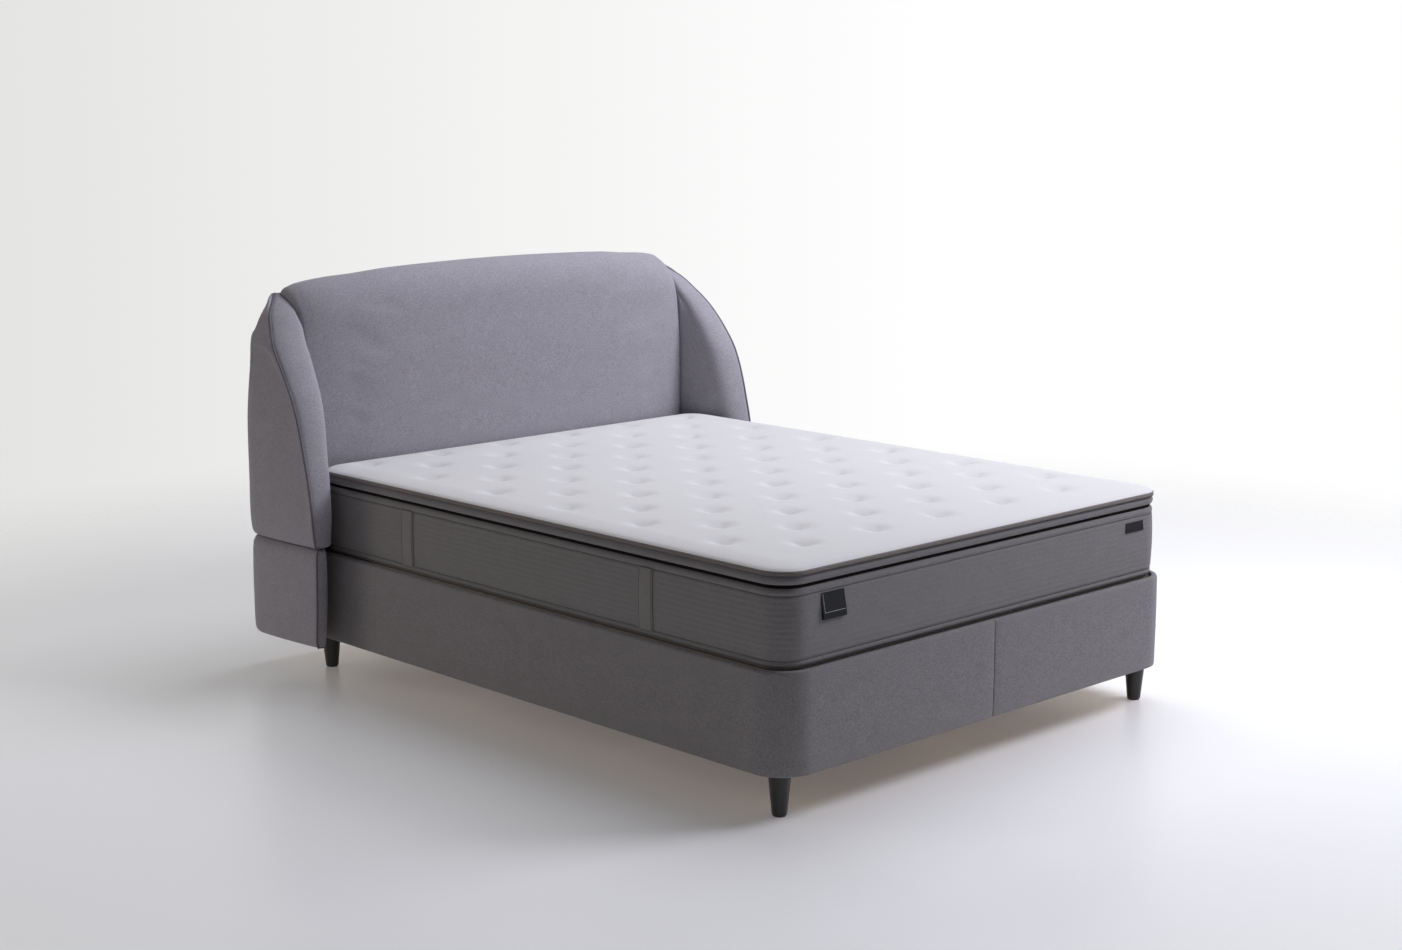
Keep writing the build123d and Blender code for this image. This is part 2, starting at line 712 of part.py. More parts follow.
# Headboard's centre cushion: in front of the frame and over its top, fullest in the middle.
# One row for each distance from the middle, in shares of the cushion's half width. Depths are
# shares of the cushion's room measured forwards from the back, heights of the headboard's height:
# across, front bulge, bottom front, upper front (depth, height), crest (depth, height), rear
# (depth, height).
cushion_depth = headboard_depth + cushion_room
cushion_shares = (
    (0.0000, 0.9706, 0.9222, 0.9419, 0.8442, 0.5436, 1.0000, 0.0048, 0.9253),
    (0.1428, 0.9701, 0.9216, 0.9407, 0.8438, 0.5436, 0.9995, 0.0048, 0.9248),
    (0.2856, 0.9677, 0.9192, 0.9384, 0.8427, 0.5436, 0.9980, 0.0048, 0.9233),
    (0.4284, 0.9641, 0.9150, 0.9348, 0.8412, 0.5436, 0.9958, 0.0048, 0.9211),
    (0.5712, 0.9575, 0.9090, 0.9282, 0.8389, 0.5424, 0.9924, 0.0048, 0.9181),
    (0.7140, 0.9372, 0.8923, 0.9085, 0.8337, 0.4900, 0.9841, 0.0048, 0.9118),
    (0.8568, 0.8959, 0.8552, 0.8636, 0.8235, 0.3900, 0.9756, 0.0078, 0.9024),
    (0.9490, 0.8200, 0.7900, 0.7800, 0.8080, 0.2700, 0.9668, 0.0120, 0.9030),
    (0.9996, 0.7400, 0.7180, 0.6900, 0.7850, 0.1800, 0.9360, 0.0240, 0.8860),
)
cushion_bulge_height_share = 0.568
cushion_shoulder_shares = (0.22, 0.66)
cushion_crest_shares = (0.68, 0.28)


def cushion_section(sign, row):
    """One upright outline of the centre cushion, a plane across the bed."""
    across_share, bulge, bottom, upper, upper_z, crest, crest_z, rear, rear_z = row
    board_y = front_board_y - fit_gap
    over_z = frame_top + fit_gap
    upper_at = (back_y - upper * cushion_depth, upper_z * headboard_height)
    crest_at = (back_y - crest * cushion_depth, crest_z * headboard_height)
    rear_at = (back_y - rear * cushion_depth, rear_z * headboard_height)
    low = (back_y - bottom * cushion_depth, front_board_bottom)
    shoulder = tuple(a + share * (b - a)
                     for a, b, share in zip(upper_at, crest_at, cushion_shoulder_shares))
    over = (crest_at[0] + cushion_crest_shares[0] * (rear_at[0] - crest_at[0]),
            crest_at[1] + cushion_crest_shares[1] * (rear_at[1] - crest_at[1]))
    x = sign * across_share * centre_cushion_half_width
    with BuildSketch(Plane(origin=(x, 0, 0), x_dir=(0, 1, 0), z_dir=(1, 0, 0))) as section:
        with BuildLine():
            Line((board_y, front_board_bottom), low)
            ThreePointArc(low, (back_y - bulge * cushion_depth,
                                cushion_bulge_height_share * headboard_height), upper_at)
            ThreePointArc(upper_at, shoulder, crest_at)
            ThreePointArc(crest_at, over, rear_at)
            Line(rear_at, (rear_at[0], over_z))
            Line((rear_at[0], over_z), (board_y, over_z))
            Line((board_y, over_z), (board_y, front_board_bottom))
        make_face()
    return section.sketch


def centre_cushion():
    sections = [cushion_section(-1, row) for row in reversed(cushion_shares[1:])]
    sections += [cushion_section(1, row) for row in cushion_shares]
    with BuildPart() as cushion:
        loft(sections)
    keep(cushion, "headboard_centre_cushion")


# Mattress: quilted border between two tapes, a drawn-in seam and a tufted pillow top
mattress_half_width = mattress_width / 2
mattress_front_y = foot_y + wall + rim_gap
mattress_rear_y = mattress_front_y + mattress_length
tape_proud = 2.0
border_thickness = 8.0
bottom_cover_thickness = 6.0
lower_tape_rise = 14.0
tape_height = 9.0
border_top_rise = 218.0
seam_height = 6.0
seam_depth = 8.0
gusset_height = 25.0
gusset_thickness = 12.0
base_foam_thickness = 20.0
comfort_foam_thickness = 42.0
border_top = seat_z + border_top_rise
gusset_bottom = border_top + seam_height
gusset_top = gusset_bottom + gusset_height
pillow_bottom = seat_z + mattress_side_height
pillow_shares = ((0, 0), (0.5, 0.2), (0.8125, 0.6), (1, 1))
pillow_edge = 75.0
pillow_corner_loss = 25.0
tuft_columns_each_side = 5
tuft_rows = 6
tuft_side_margin = 132.0
tuft_first_row = 184.0
tuft_head_margin = 94.0
tuft_column_pitch = (mattress_half_width - tuft_side_margin) / tuft_columns_each_side
tuft_row_pitch = (mattress_length - tuft_first_row - tuft_head_margin) / (tuft_rows - 1 / 2)
tuft_radius = 24.0
tuft_depth = 5.0
tuft_thread_radius = 4.0
tuft_thread_height = 3.0
tuft_thread_sink = 1.0
handle_width = 55.0
handle_thickness = 2.0
handle_bottom_rise = 33.0
handle_height = 164.0
handle_places_y = (496.0, 1527.0)
label_thickness = 1.5
patch_from_side = 176.0
patch_size = (85.0, 68.0)
patch_bottom_rise = 125.0
tab_from_side = 147.0
tab_size = (85.0, 29.0)
tab_bottom_rise = 156.0


def mattress_slab(inset, z, mode=Mode.ADD):
    """A layer of the mattress, drawn in from its widest outline."""
    rounded_slab((inset - mattress_half_width, mattress_half_width - inset),
                 (mattress_front_y + inset, mattress_rear_y - inset), z,
                 mattress_corner_radius - inset, mode=mode)


def mattress_covers():
    with BuildPart() as bottom:
        mattress_slab(tape_proud, (seat_z, seat_z + bottom_cover_thickness))
    keep(bottom, "mattress_bottom_cover")
    with BuildPart() as border:
        z = (seat_z + bottom_cover_thickness, border_top)
        mattress_slab(tape_proud, z)
        mattress_slab(tape_proud + border_thickness, z, mode=Mode.SUBTRACT)
    keep(border, "mattress_border")
    with BuildPart() as gusset:
        mattress_slab(tape_proud, (gusset_bottom, gusset_top))
        mattress_slab(tape_proud + seam_depth, (border_top, gusset_bottom))
        mattress_slab(tape_proud + gusset_thickness, (border_top, gusset_top),
                      mode=Mode.SUBTRACT)
    keep(gusset, "mattress_gusset")
    with BuildPart() as tapes:
        z = (seat_z + lower_tape_rise, seat_z + lower_tape_rise + tape_height)
        mattress_slab(0, z)
        mattress_slab(tape_proud, z, mode=Mode.SUBTRACT)
        mattress_slab(0, (gusset_top, pillow_bottom))
        mattress_slab(tape_proud + gusset_thickness, (gusset_top, pillow_bottom),
                      mode=Mode.SUBTRACT)
    keep(tapes, "mattress_tapes")


def mattress_fillings():
    core_bottom = seat_z + bottom_cover_thickness + base_foam_thickness
    core_top = border_top - comfort_foam_thickness
    inside = tape_proud + border_thickness
    for label, inset, z in (
        ("mattress_base_foam", inside, (seat_z + bottom_cover_thickness, core_bottom)),
        ("mattress_spring_core", inside, (core_bottom, core_top)),
        ("mattress_comfort_foam", inside, (core_top, border_top)),
        ("mattress_top_foam", tape_proud + gusset_thickness, (border_top, pillow_bottom)),
    ):
        with BuildPart() as layer:
            mattress_slab(inset, z)
        keep(layer, label)


def tuft_places():
    """Staggered rows of tufts, each other column half a pitch further from the foot."""
    for column in range(-tuft_columns_each_side, tuft_columns_each_side + 1):
        start = mattress_front_y + tuft_first_row + (column % 2) * tuft_row_pitch / 2
        for row in range(tuft_rows):
            yield column * tuft_column_pitch, start + row * tuft_row_pitch


def pillow_section(rise_share, inset_share):
    """One plan outline of the pillow top on its way in and up to the crown."""
    inset = inset_share * pillow_edge
    with BuildSketch(Plane.XY.offset(pillow_bottom + rise_share * mattress_crown)) as section:
        with Locations((0, (mattress_front_y + mattress_rear_y) / 2)):
            RectangleRounded(mattress_width - 2 * inset, mattress_length - 2 * inset,
                             mattress_corner_radius - inset_share * pillow_corner_loss)
    return section.sketch


def pillow_top():
    crown_top = pillow_bottom + mattress_crown
    with BuildPart() as pillow:
        loft([pillow_section(*shares) for shares in pillow_shares])
        with Locations(*[(x, y, crown_top + tuft_radius - tuft_depth)
                         for x, y in tuft_places()]):
            Sphere(tuft_radius, mode=Mode.SUBTRACT)
    keep(pillow, "mattress_pillow_top")
    with BuildPart() as threads:
        for x, y in tuft_places():
            round_bar((x, y, crown_top - tuft_depth - tuft_thread_sink), "Z",
                      tuft_thread_radius, tuft_thread_height)
    keep(threads, "mattress_tufts")


def mattress_handles():
    z = (seat_z + handle_bottom_rise, seat_z + handle_bottom_rise + handle_height)
    outer = mattress_half_width - tape_proud
    with BuildPart() as handles:
        for _, sign in sides:
            for from_foot in handle_places_y:
                y = mattress_front_y + from_foot
                block(across(outer, outer + handle_thickness, sign),
                      (y - handle_width / 2, y + handle_width / 2), z)
    keep(handles, "mattress_handles")


def mattress_labels():
    face_y = mattress_front_y + tape_proud
    with BuildPart() as labels:
        for middle, size, rise in (
            (patch_from_side - mattress_half_width, patch_size, patch_bottom_rise),
            (mattress_half_width - tab_from_side, tab_size, tab_bottom_rise),
        ):
            block((middle - size[0] / 2, middle + size[0] / 2),
                  (face_y - label_thickness, face_y), (seat_z + rise, seat_z + rise + size[1]))
    keep(labels, "mattress_labels")


# Platform: a welded frame of square tube under two columns of slats
tube_size = 30.0
tube_wall = 2.0
slat_thickness = 8.0
holder_thickness = 8.0
tube_top = seat_z - slat_thickness - holder_thickness
tube_bottom = tube_top - tube_size
side_tube_outer_x = inner_x - 36.0 * layer_gap
side_tube_inner_x = side_tube_outer_x - tube_size
platform_inset_foot = 16.0
platform_inset_head = 10.0
platform_front_y = mattress_front_y + platform_inset_foot
platform_rear_y = mattress_rear_y - platform_inset_head
cross_tube_shares = (0, 0.325, 0.66, 1)
slats_each_column = 14
slat_width = 53.0
slat_middle_gap = 6.0
holder_length = 60.0
strap_half_width = 60.0
strap_band = 25.0
strap_thickness = 3.0
strap_drop = 86.0


def tube(x, y, along):
    """A hollow square tube between two corners, open at its ends."""
    z = (tube_bottom, tube_top)
    block(x, y, z)
    bore_z = (tube_bottom + tube_wall, tube_top - tube_wall)
    if along == "Y":
        block((x[0] + tube_wall, x[1] - tube_wall), y, bore_z, mode=Mode.SUBTRACT)
    else:
        block(x, (y[0] + tube_wall, y[1] - tube_wall), bore_z, mode=Mode.SUBTRACT)


def platform_tubes():
    span = platform_rear_y - platform_front_y - tube_size
    starts = [platform_front_y + share * span for share in cross_tube_shares]
    with BuildPart() as tubes:
        for _, sign in sides:
            tube(across(side_tube_inner_x, side_tube_outer_x, sign),
                 (platform_front_y, platform_rear_y), "Y")
    keep(tubes, "platform_side_tubes")
    with BuildPart() as tubes:
        for start in starts:
            tube((-side_tube_inner_x, side_tube_inner_x), (start, start + tube_size), "X")
        for start, end in zip(starts, starts[1:]):
            tube((-tube_size / 2, tube_size / 2),
                 (start + tube_size + panel_joint_gap, end - panel_joint_gap), "Y")
    keep(tubes, "platform_cross_tubes")


def slat_places():
    span = platform_rear_y - platform_front_y - holder_length
    return [platform_front_y + holder_length / 2 + index * span / (slats_each_column - 1)
            for index in range(slats_each_column)]


def platform_slats():
    with BuildPart() as slats:
        for y in slat_places():
            for _, sign in sides:
                block(across(slat_middle_gap / 2, side_tube_outer_x, sign),
                      (y - slat_width / 2, y + slat_width / 2),
                      (seat_z - slat_thickness, seat_z))
    keep(slats, "platform_slats")
    with BuildPart() as holders:
        for y in slat_places():
            for x in ((-tube_size / 2, tube_size / 2),
                      across(side_tube_inner_x, side_tube_outer_x, 1),
                      across(side_tube_inner_x, side_tube_outer_x, -1)):
                block(x, (y - holder_length / 2, y + holder_length / 2),
                      (tube_top, tube_top + holder_thickness))
    keep(holders, "platform_slat_holders")


def pull_strap():
    middle_y = platform_front_y + tube_size / 2
    y = (middle_y - strap_thickness / 2, middle_y + strap_thickness / 2)
    with BuildPart() as strap:
        block((-strap_half_width, strap_half_width), y, (tube_bottom - strap_drop, tube_bottom))
        block((strap_band - strap_half_width, strap_half_width - strap_band),
              (y[0] - overrun, y[1] + overrun),
              (tube_bottom - strap_drop + strap_band, tube_bottom + overrun),
              mode=Mode.SUBTRACT)
    keep(strap, "platform_pull_strap")


# Lift linkage: on each side a main arm with a short lever, a front arm and a gas strut
front_arm_radius = 12.0
lever_radius = 11.0
lever_stud_radius = 8.0
lever_stud_length = 2.5
gas_tube_radius = 9.0
gas_bore_radius = 7.5
gas_rod_radius = 4.0
gas_pivot_head_radius = 7.0
gas_bore = (20.0, 152.0)
gas_tube_end = 162.0
gas_tube_start = 8.0
gas_piston = (60.0, 68.0)
bracket_flange_thickness = 4.0
bracket_foot_side = 105.2
bracket_head_side = 34.8
bracket_below_pivot = 28.0
bracket_above_pivot = 25.0
gas_length = hypot(gas_lever[0] - gas_pivot[0], gas_lever[1] - gas_pivot[1])
gas_angle = atan2(gas_lever[1] - gas_pivot[1], gas_lever[0] - gas_pivot[0])
pin_bore_radius = pivot_pin_radius + running_gap


def side_plane(sign, layer):
    """The plane of one layer of a linkage: its own axes are the bed's Y and Z."""
    return Plane(origin=(sign * (inner_x - layer), 0, 0), x_dir=(0, 1, 0), z_dir=(1, 0, 0))


def plate(sign, layer, thickness, places, radii):
    """A flat plate drawn round discs in the side plane."""
    with BuildSketch(side_plane(sign, layer)) as outline:
        for place, radius in zip(places, radii):
            with Locations(place):
                Circle(radius)
        make_hull()
    extrude(outline.sketch, amount=-sign * thickness)


def pin(sign, place, start, end, radius, mode=Mode.ADD):
    """A round bar through some layers of a linkage."""
    round_bar((sign * (inner_x - start), *place), "X", radius, sign * (start - end), mode=mode)


def lift_base_plates():
    with BuildPart() as plates:
        for _, sign in sides:
            plate(sign, 0, base_plate_thickness, (front_pivot, main_pivot, gas_pivot),
                  (base_plate_margin, base_plate_margin, base_plate_margin))
            for place in (front_pivot, main_pivot):
                pin(sign, place, -overrun, overrun, pin_bore_radius, mode=Mode.SUBTRACT)
            pin(sign, gas_pivot, -overrun, overrun, gas_rod_radius + running_gap,
                mode=Mode.SUBTRACT)
            for place in plate_screw_places:
                pin(sign, place, -overrun, overrun, screw_radius + running_gap,
                    mode=Mode.SUBTRACT)
                pin(sign, place, base_plate_thickness - screw_head_thickness, overrun,
                    screw_head_radius + running_gap, mode=Mode.SUBTRACT)
    keep(plates, "lift_base_plates")
    with BuildPart() as screws:
        for _, sign in sides:
            for place in plate_screw_places:
                head = base_plate_thickness - screw_head_thickness
                pin(sign, place, head, base_plate_thickness, screw_head_radius)
                pin(sign, place, -screw_length, head, screw_radius)
    keep(screws, "lift_plate_screws")


def lift_base_pins():
    """Headed pins on the base plates, with a spacer collar up to the arm each one carries."""
    with BuildPart() as pins:
        for _, sign in sides:
            for place, radius, layer, length, head in (
                (main_pivot, pivot_pin_radius, main_arm_layer, arm_thickness, pin_head_radius),
                (front_pivot, pivot_pin_radius, front_arm_layer, arm_thickness,
                 pin_head_radius),
                (gas_pivot, gas_rod_radius, gas_socket_layer, gas_socket_length,
                 gas_pivot_head_radius),
            ):
                inner = layer + length + running_gap
                pin(sign, place, 0, inner, radius)
                pin(sign, place, base_plate_thickness, layer - running_gap, head)
                pin(sign, place, inner, inner + pin_head_thickness - running_gap, head)
    keep(pins, "lift_base_pins")


def lift_arms():
    with BuildPart() as arms:
        for _, sign in sides:
            plate(sign, main_arm_layer, arm_thickness, (main_pivot, platform_pivot),
                  (arm_end_radius, arm_end_radius))
            plate(sign, main_arm_layer, arm_thickness, (main_pivot, gas_lever),
                  (arm_end_radius, lever_radius))
            for place in (main_pivot, platform_pivot):
                pin(sign, place, -overrun, 2 * overrun, pin_bore_radius, mode=Mode.SUBTRACT)
            start = main_arm_layer + arm_thickness
            pin(sign, gas_lever, start, start + lever_stud_length, lever_stud_radius)
    keep(arms, "lift_main_arms")


def front_arms():
    with BuildPart() as arms:
        for _, sign in sides:
            plate(sign, front_arm_layer, arm_thickness, (front_pivot, front_tab_pivot),
                  (front_arm_radius, front_arm_radius))
            pin(sign, front_pivot, front_arm_layer - overrun, front_tab_layer + overrun,
                pin_bore_radius, mode=Mode.SUBTRACT)
    keep(arms, "lift_front_arms")


def strut_bar(sign, start, end, radius, mode=Mode.ADD):
    """A round bar along a gas strut, measured from its pivot on the base plate."""
    along = (0, cos(gas_angle), sin(gas_angle))
    origin = (sign * (inner_x - gas_centre_layer), gas_pivot[0] + start * along[1],
              gas_pivot[1] + start * along[2])
    with BuildSketch(Plane(origin=origin, z_dir=along)) as end_face:
        Circle(radius)
    extrude(end_face.sketch, amount=end - start, mode=mode)


def gas_cylinders():
    with BuildPart() as cylinders:
        for _, sign in sides:
            pin(sign, gas_pivot, gas_socket_layer, gas_socket_layer + gas_socket_length,
                gas_tube_radius)
            strut_bar(sign, gas_tube_start, gas_tube_end, gas_tube_radius)
            strut_bar(sign, gas_bore[0], gas_bore[1], gas_bore_radius, mode=Mode.SUBTRACT)
            strut_bar(sign, gas_bore[0], gas_tube_end + overrun, gas_rod_radius + running_gap,
                      mode=Mode.SUBTRACT)
            pin(sign, gas_pivot, 0, gas_socket_layer + gas_socket_length + overrun,
                gas_rod_radius + running_gap, mode=Mode.SUBTRACT)
    keep(cylinders, "lift_gas_cylinders")


def gas_rods():
    with BuildPart() as rods:
        for _, sign in sides:
            pin(sign, gas_lever, gas_socket_layer, gas_socket_layer + gas_socket_length,
                gas_tube_radius)
            strut_bar(sign, gas_piston[0], gas_length, gas_rod_radius)
            strut_bar(sign, gas_piston[0], gas_piston[1], gas_bore_radius - running_gap)
    keep(rods, "lift_gas_rods")


def platform_brackets():
    leg_y = (platform_pivot[0] - bracket_foot_side, platform_pivot[0] + bracket_head_side)
    with BuildPart() as brackets:
        for _, sign in sides:
            outer = inner_x - platform_plate_layer
            block(across(outer - arm_thickness, outer, sign), leg_y,
                  (platform_pivot[1] - bracket_below_pivot,
                   platform_pivot[1] + bracket_above_pivot))
            block(across(side_tube_inner_x, outer, sign), leg_y,
                  (tube_bottom - bracket_flange_thickness, tube_bottom))
            tab_outer = inner_x - front_tab_layer
            block(across(tab_outer - arm_thickness, tab_outer, sign),
                  (front_tab_pivot[0] - front_arm_radius, front_tab_pivot[0] + front_arm_radius),
                  (front_tab_pivot[1] - front_arm_radius, tube_bottom))
            pin(sign, platform_pivot, 0, 2 * overrun, pin_bore_radius, mode=Mode.SUBTRACT)
            pin(sign, front_tab_pivot, front_tab_layer - layer_gap,
                front_tab_layer + arm_thickness + layer_gap, pin_bore_radius,
                mode=Mode.SUBTRACT)
    keep(brackets, "platform_brackets")
    with BuildPart() as pins:
        for _, sign in sides:
            inner = platform_plate_layer + arm_thickness
            head = main_arm_layer - running_gap
            pin(sign, platform_pivot, head, inner, pivot_pin_radius)
            pin(sign, platform_pivot, head - pin_head_thickness, head, pin_head_radius)
            inner = front_tab_layer + arm_thickness
            pin(sign, front_tab_pivot, front_tab_layer - layer_gap + fit_gap, inner,
                pivot_pin_radius)
            pin(sign, front_tab_pivot, inner, inner + pin_head_thickness, pin_head_radius)
    keep(pins, "platform_pins")


for make in (
    base_side_panels, base_foot_panels, base_head_panel, base_covers,
    base_floor_boards, base_floor_panels, corner_legs, centre_legs, leg_glides, leg_studs,
    leg_tee_nuts, corner_brackets, bracket_screws, headboard_uprights, headboard_rails,
    headboard_boards, headboard_bolts, wing_boards, wing_bolts, wing_pads, wing_pipings,
    centre_cushion, mattress_covers, mattress_fillings, pillow_top, mattress_handles,
    mattress_labels, platform_tubes, platform_slats, pull_strap, lift_base_plates,
    lift_base_pins, lift_arms, front_arms, gas_cylinders, gas_rods, platform_brackets,
):
    make()
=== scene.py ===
import math

import bmesh
import bpy
import numpy as np
from mathutils import Matrix, Vector


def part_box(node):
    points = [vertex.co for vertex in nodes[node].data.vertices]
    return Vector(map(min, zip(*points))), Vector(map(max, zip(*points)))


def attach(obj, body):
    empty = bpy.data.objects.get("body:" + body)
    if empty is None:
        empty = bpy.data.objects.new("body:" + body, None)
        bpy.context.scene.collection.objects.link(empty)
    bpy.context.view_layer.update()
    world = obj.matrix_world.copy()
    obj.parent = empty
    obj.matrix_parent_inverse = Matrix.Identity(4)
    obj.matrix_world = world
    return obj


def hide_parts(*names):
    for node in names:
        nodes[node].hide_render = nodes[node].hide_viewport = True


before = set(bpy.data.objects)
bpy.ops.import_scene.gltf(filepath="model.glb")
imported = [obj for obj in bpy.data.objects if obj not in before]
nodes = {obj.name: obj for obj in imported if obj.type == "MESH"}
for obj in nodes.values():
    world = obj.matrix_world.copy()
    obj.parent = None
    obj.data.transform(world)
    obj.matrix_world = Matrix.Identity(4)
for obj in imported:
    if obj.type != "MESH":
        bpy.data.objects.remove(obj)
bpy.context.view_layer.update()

scene = bpy.context.scene
SIDES = (("left", -1.0), ("right", 1.0))


# Wings of the headboard: foam pads in brushed woven upholstery cloth, an outer and a front pad on
# each side, above and below a level seam. Each cover is sewn to shape, pulled over its pad and
# stapled to the cheek board, so that it draws in along the seams and is full between them.
def linear(colour):
    """An sRGB hex colour as the linear colour that a shader takes."""
    parts = [int(colour[i:i + 2], 16) / 255 for i in (1, 3, 5)]
    return [p / 12.92 if p <= 0.04045 else ((p + 0.055) / 1.055) ** 2.4 for p in parts] + [1.0]


def add(tree, kind, settings=None, links=None):
    """One node with its settings, and links as input: (node, output)."""
    node = tree.nodes.new(kind)
    for name, value in (settings or {}).items():
        if isinstance(name, str) and hasattr(node, name):
            setattr(node, name, value)
        else:
            node.inputs[name].default_value = value
    feed(node, links or {})
    return node


def feed(node, links):
    """Links into a node, as input: (source node, output)."""
    for name, (source, output) in links.items():
        node.id_data.links.new(source.outputs[output], node.inputs[name])


def finish(name, surface):
    """An empty material with its coordinates, its surface shader and its output."""
    material = bpy.data.materials.new(name)
    material.use_nodes = True
    tree = material.node_tree
    tree.nodes.clear()
    place = add(tree, "ShaderNodeTexCoord")
    shader = add(tree, "ShaderNodeBsdfPrincipled", surface)
    add(tree, "ShaderNodeOutputMaterial", {}, {"Surface": (shader, "BSDF")})
    return material, tree, place, shader


def ramped(tree, value, dark, light, low=0.0, high=1.0):
    """A colour between a dark and a light one, by a value given as (node, output)."""
    ramp = add(tree, "ShaderNodeValToRGB", {}, {"Fac": value})
    for element, spot, colour in zip(ramp.color_ramp.elements, (low, high), (dark, light)):
        element.position = spot
        element.color = linear(colour)
    return ramp


def glossed(tree, place, shader, scale, low, high, detail=2.0):
    """A roughness between two values by a fine noise, which it returns."""
    spots = add(tree, "ShaderNodeTexNoise", {"Scale": scale, "Detail": detail},
                {"Vector": (place, "Object")})
    rough = add(tree, "ShaderNodeMapRange", {"To Min": low, "To Max": high},
                {"Value": (spots, "Fac")})
    feed(shader, {"Roughness": (rough, "Result")})
    return spots


def woven(name, dark, light, surface, grain, grain_bump, cloud=0.05):
    """Cloth whose threads show as a grain of a given size, with soft clouds of wear in its nap."""
    material, tree, place, shader = finish(name, surface)
    threads = add(tree, "ShaderNodeTexNoise", {"Scale": 1 / grain, "Detail": 3.0, "Roughness": 0.7},
                  {"Vector": (place, "Object")})
    nap = add(tree, "ShaderNodeTexNoise", {"Scale": 1 / cloud, "Detail": 2.0},
              {"Vector": (place, "Object")})
    blend = add(tree, "ShaderNodeMath", {"operation": "MULTIPLY_ADD", 1: 0.10},
                {0: (nap, "Fac"), 2: (threads, "Fac")})
    shade = add(tree, "ShaderNodeMapRange", {"From Min": 0.30, "From Max": 0.80},
                {"Value": (blend, "Value")})
    relief = add(tree, "ShaderNodeBump", {"Strength": 0.5, "Distance": grain_bump},
                 {"Height": (threads, "Fac")})
    feed(shader, {"Base Color": (ramped(tree, (shade, "Result"), dark, light), "Color"),
                  "Normal": (relief, "Normal")})
    return material, tree, place, shader, relief


# Brushed polyester weave: matte, with a short nap that lightens where it turns away from the eye.
# Its threads are 0.6 mm and too fine for the render, so the grain is drawn at about 4 mm.
UPHOLSTERY = {"Roughness": 0.92, "Specular IOR Level": 0.25, "Sheen Weight": 0.35,
              "Sheen Roughness": 0.45, "Sheen Tint": linear("#c9c6d6")}
wing_cloth = woven("brushed_polyester_weave_headboard", "#858288", "#b5b2b9", UPHOLSTERY,
                   0.0038, 0.0007)[0]

centre_half = 0.785
cushion_gap = 0.0003
board_outer = 0.8803
post_outer = 0.8623
frame_front = 0.9757
frame_top = 1.0401
behind_frame = 1.0983
crease_front = 0.953
pad_over_board = 0.045
cheek_rear = 1.090
lower_pad_inner = 0.8571
outer_skin_points = 74
outer_lining_points = 40
front_skin_points = 68
front_side_points = 7
front_lining_points = 30
on_board = 9.0
piping_pull = 0.0035
piping_pull_reach = 0.016
pad_softness = 0.010
seam_pull = 0.003
seam_pull_reach = 0.05
stapled_reach = 0.02
pad_pressure = 1.6
pad_swell = 0.005
thinnest_share = 0.3
outer_fullness = 0.25
board_clear = 0.021
post_clear = 0.024
rear_clear = 0.004
part_gap = 0.0005
corner_room_across = 0.35
corner_room_behind = 0.30
seam_return = 0.002
crease_clear = 0.0038

# height, front y, rear y, rear corner, widest x, piping x, face, roll, how far the roll leads
upper_wing = (
    (0.4207, 0.7385, 1.1069, 0.0764, 0.9242, 0.9120, 0.0300, 0.0454, 0.000),
    (0.4367, 0.7315, 1.1092, 0.0840, 0.9365, 0.9225, 0.0300, 0.0548, 0.000),
    (0.5002, 0.7335, 1.1100, 0.0898, 0.9441, 0.9265, 0.0360, 0.0595, 0.000),
    (0.6148, 0.7490, 1.1100, 0.0898, 0.9450, 0.9275, 0.0440, 0.0595, 0.002),
    (0.7000, 0.7690, 1.1100, 0.0898, 0.9450, 0.9275, 0.0500, 0.0595, 0.004),
    (0.7800, 0.7905, 1.1100, 0.0898, 0.9445, 0.9270, 0.0580, 0.0580, 0.008),
    (0.8600, 0.8221, 1.1100, 0.0898, 0.9385, 0.9260, 0.0660, 0.0540, 0.014),
    (0.9400, 0.8764, 1.1100, 0.0898, 0.9265, 0.9210, 0.0740, 0.0460, 0.022),
    (1.0000, 0.9277, 1.1100, 0.0740, 0.9145, 0.9130, 0.0800, 0.0360, 0.030),
    (1.0420, 0.9657, 1.1095, 0.0520, 0.9002, 0.8980, 0.0795, 0.0290, 0.033),
    (1.0600, 0.9829, 1.1085, 0.0600, 0.8900, 0.8875, 0.0780, 0.0240, 0.034),
    (1.1000, 1.0223, 1.1060, 0.0640, 0.8710, 0.8650, 0.0660, 0.0140, 0.034),
    (1.1300, 1.0546, 1.1000, 0.0440, 0.8460, 0.8330, 0.0460, 0.0080, 0.026),
    (1.1500, 1.0800, 1.0985, 0.0180, 0.8250, 0.8090, 0.0280, 0.0050, 0.010),
    (1.1570, 1.0880, 1.0970, 0.0100, 0.8130, 0.8010, 0.0220, 0.0040, 0.006),
)
lower_wing = (
    (0.1109, 0.7547, 1.1001, 0.0688, 0.9185, 0.8996, 0.0057, 0.0340, 0.0),
    (0.1164, 0.7463, 1.1039, 0.0764, 0.9299, 0.9110, 0.0057, 0.0454, 0.0),
    (0.1331, 0.7433, 1.1085, 0.0840, 0.9384, 0.9185, 0.0057, 0.0529, 0.0),
    (0.2649, 0.7311, 1.1100, 0.0898, 0.9412, 0.9214, 0.0076, 0.0548, 0.0),
    (0.3967, 0.7288, 1.1092, 0.0840, 0.9355, 0.9195, 0.0076, 0.0529, 0.0),
    (0.4189, 0.7356, 1.1069, 0.0764, 0.9242, 0.9100, 0.0057, 0.0454, 0.0),
)


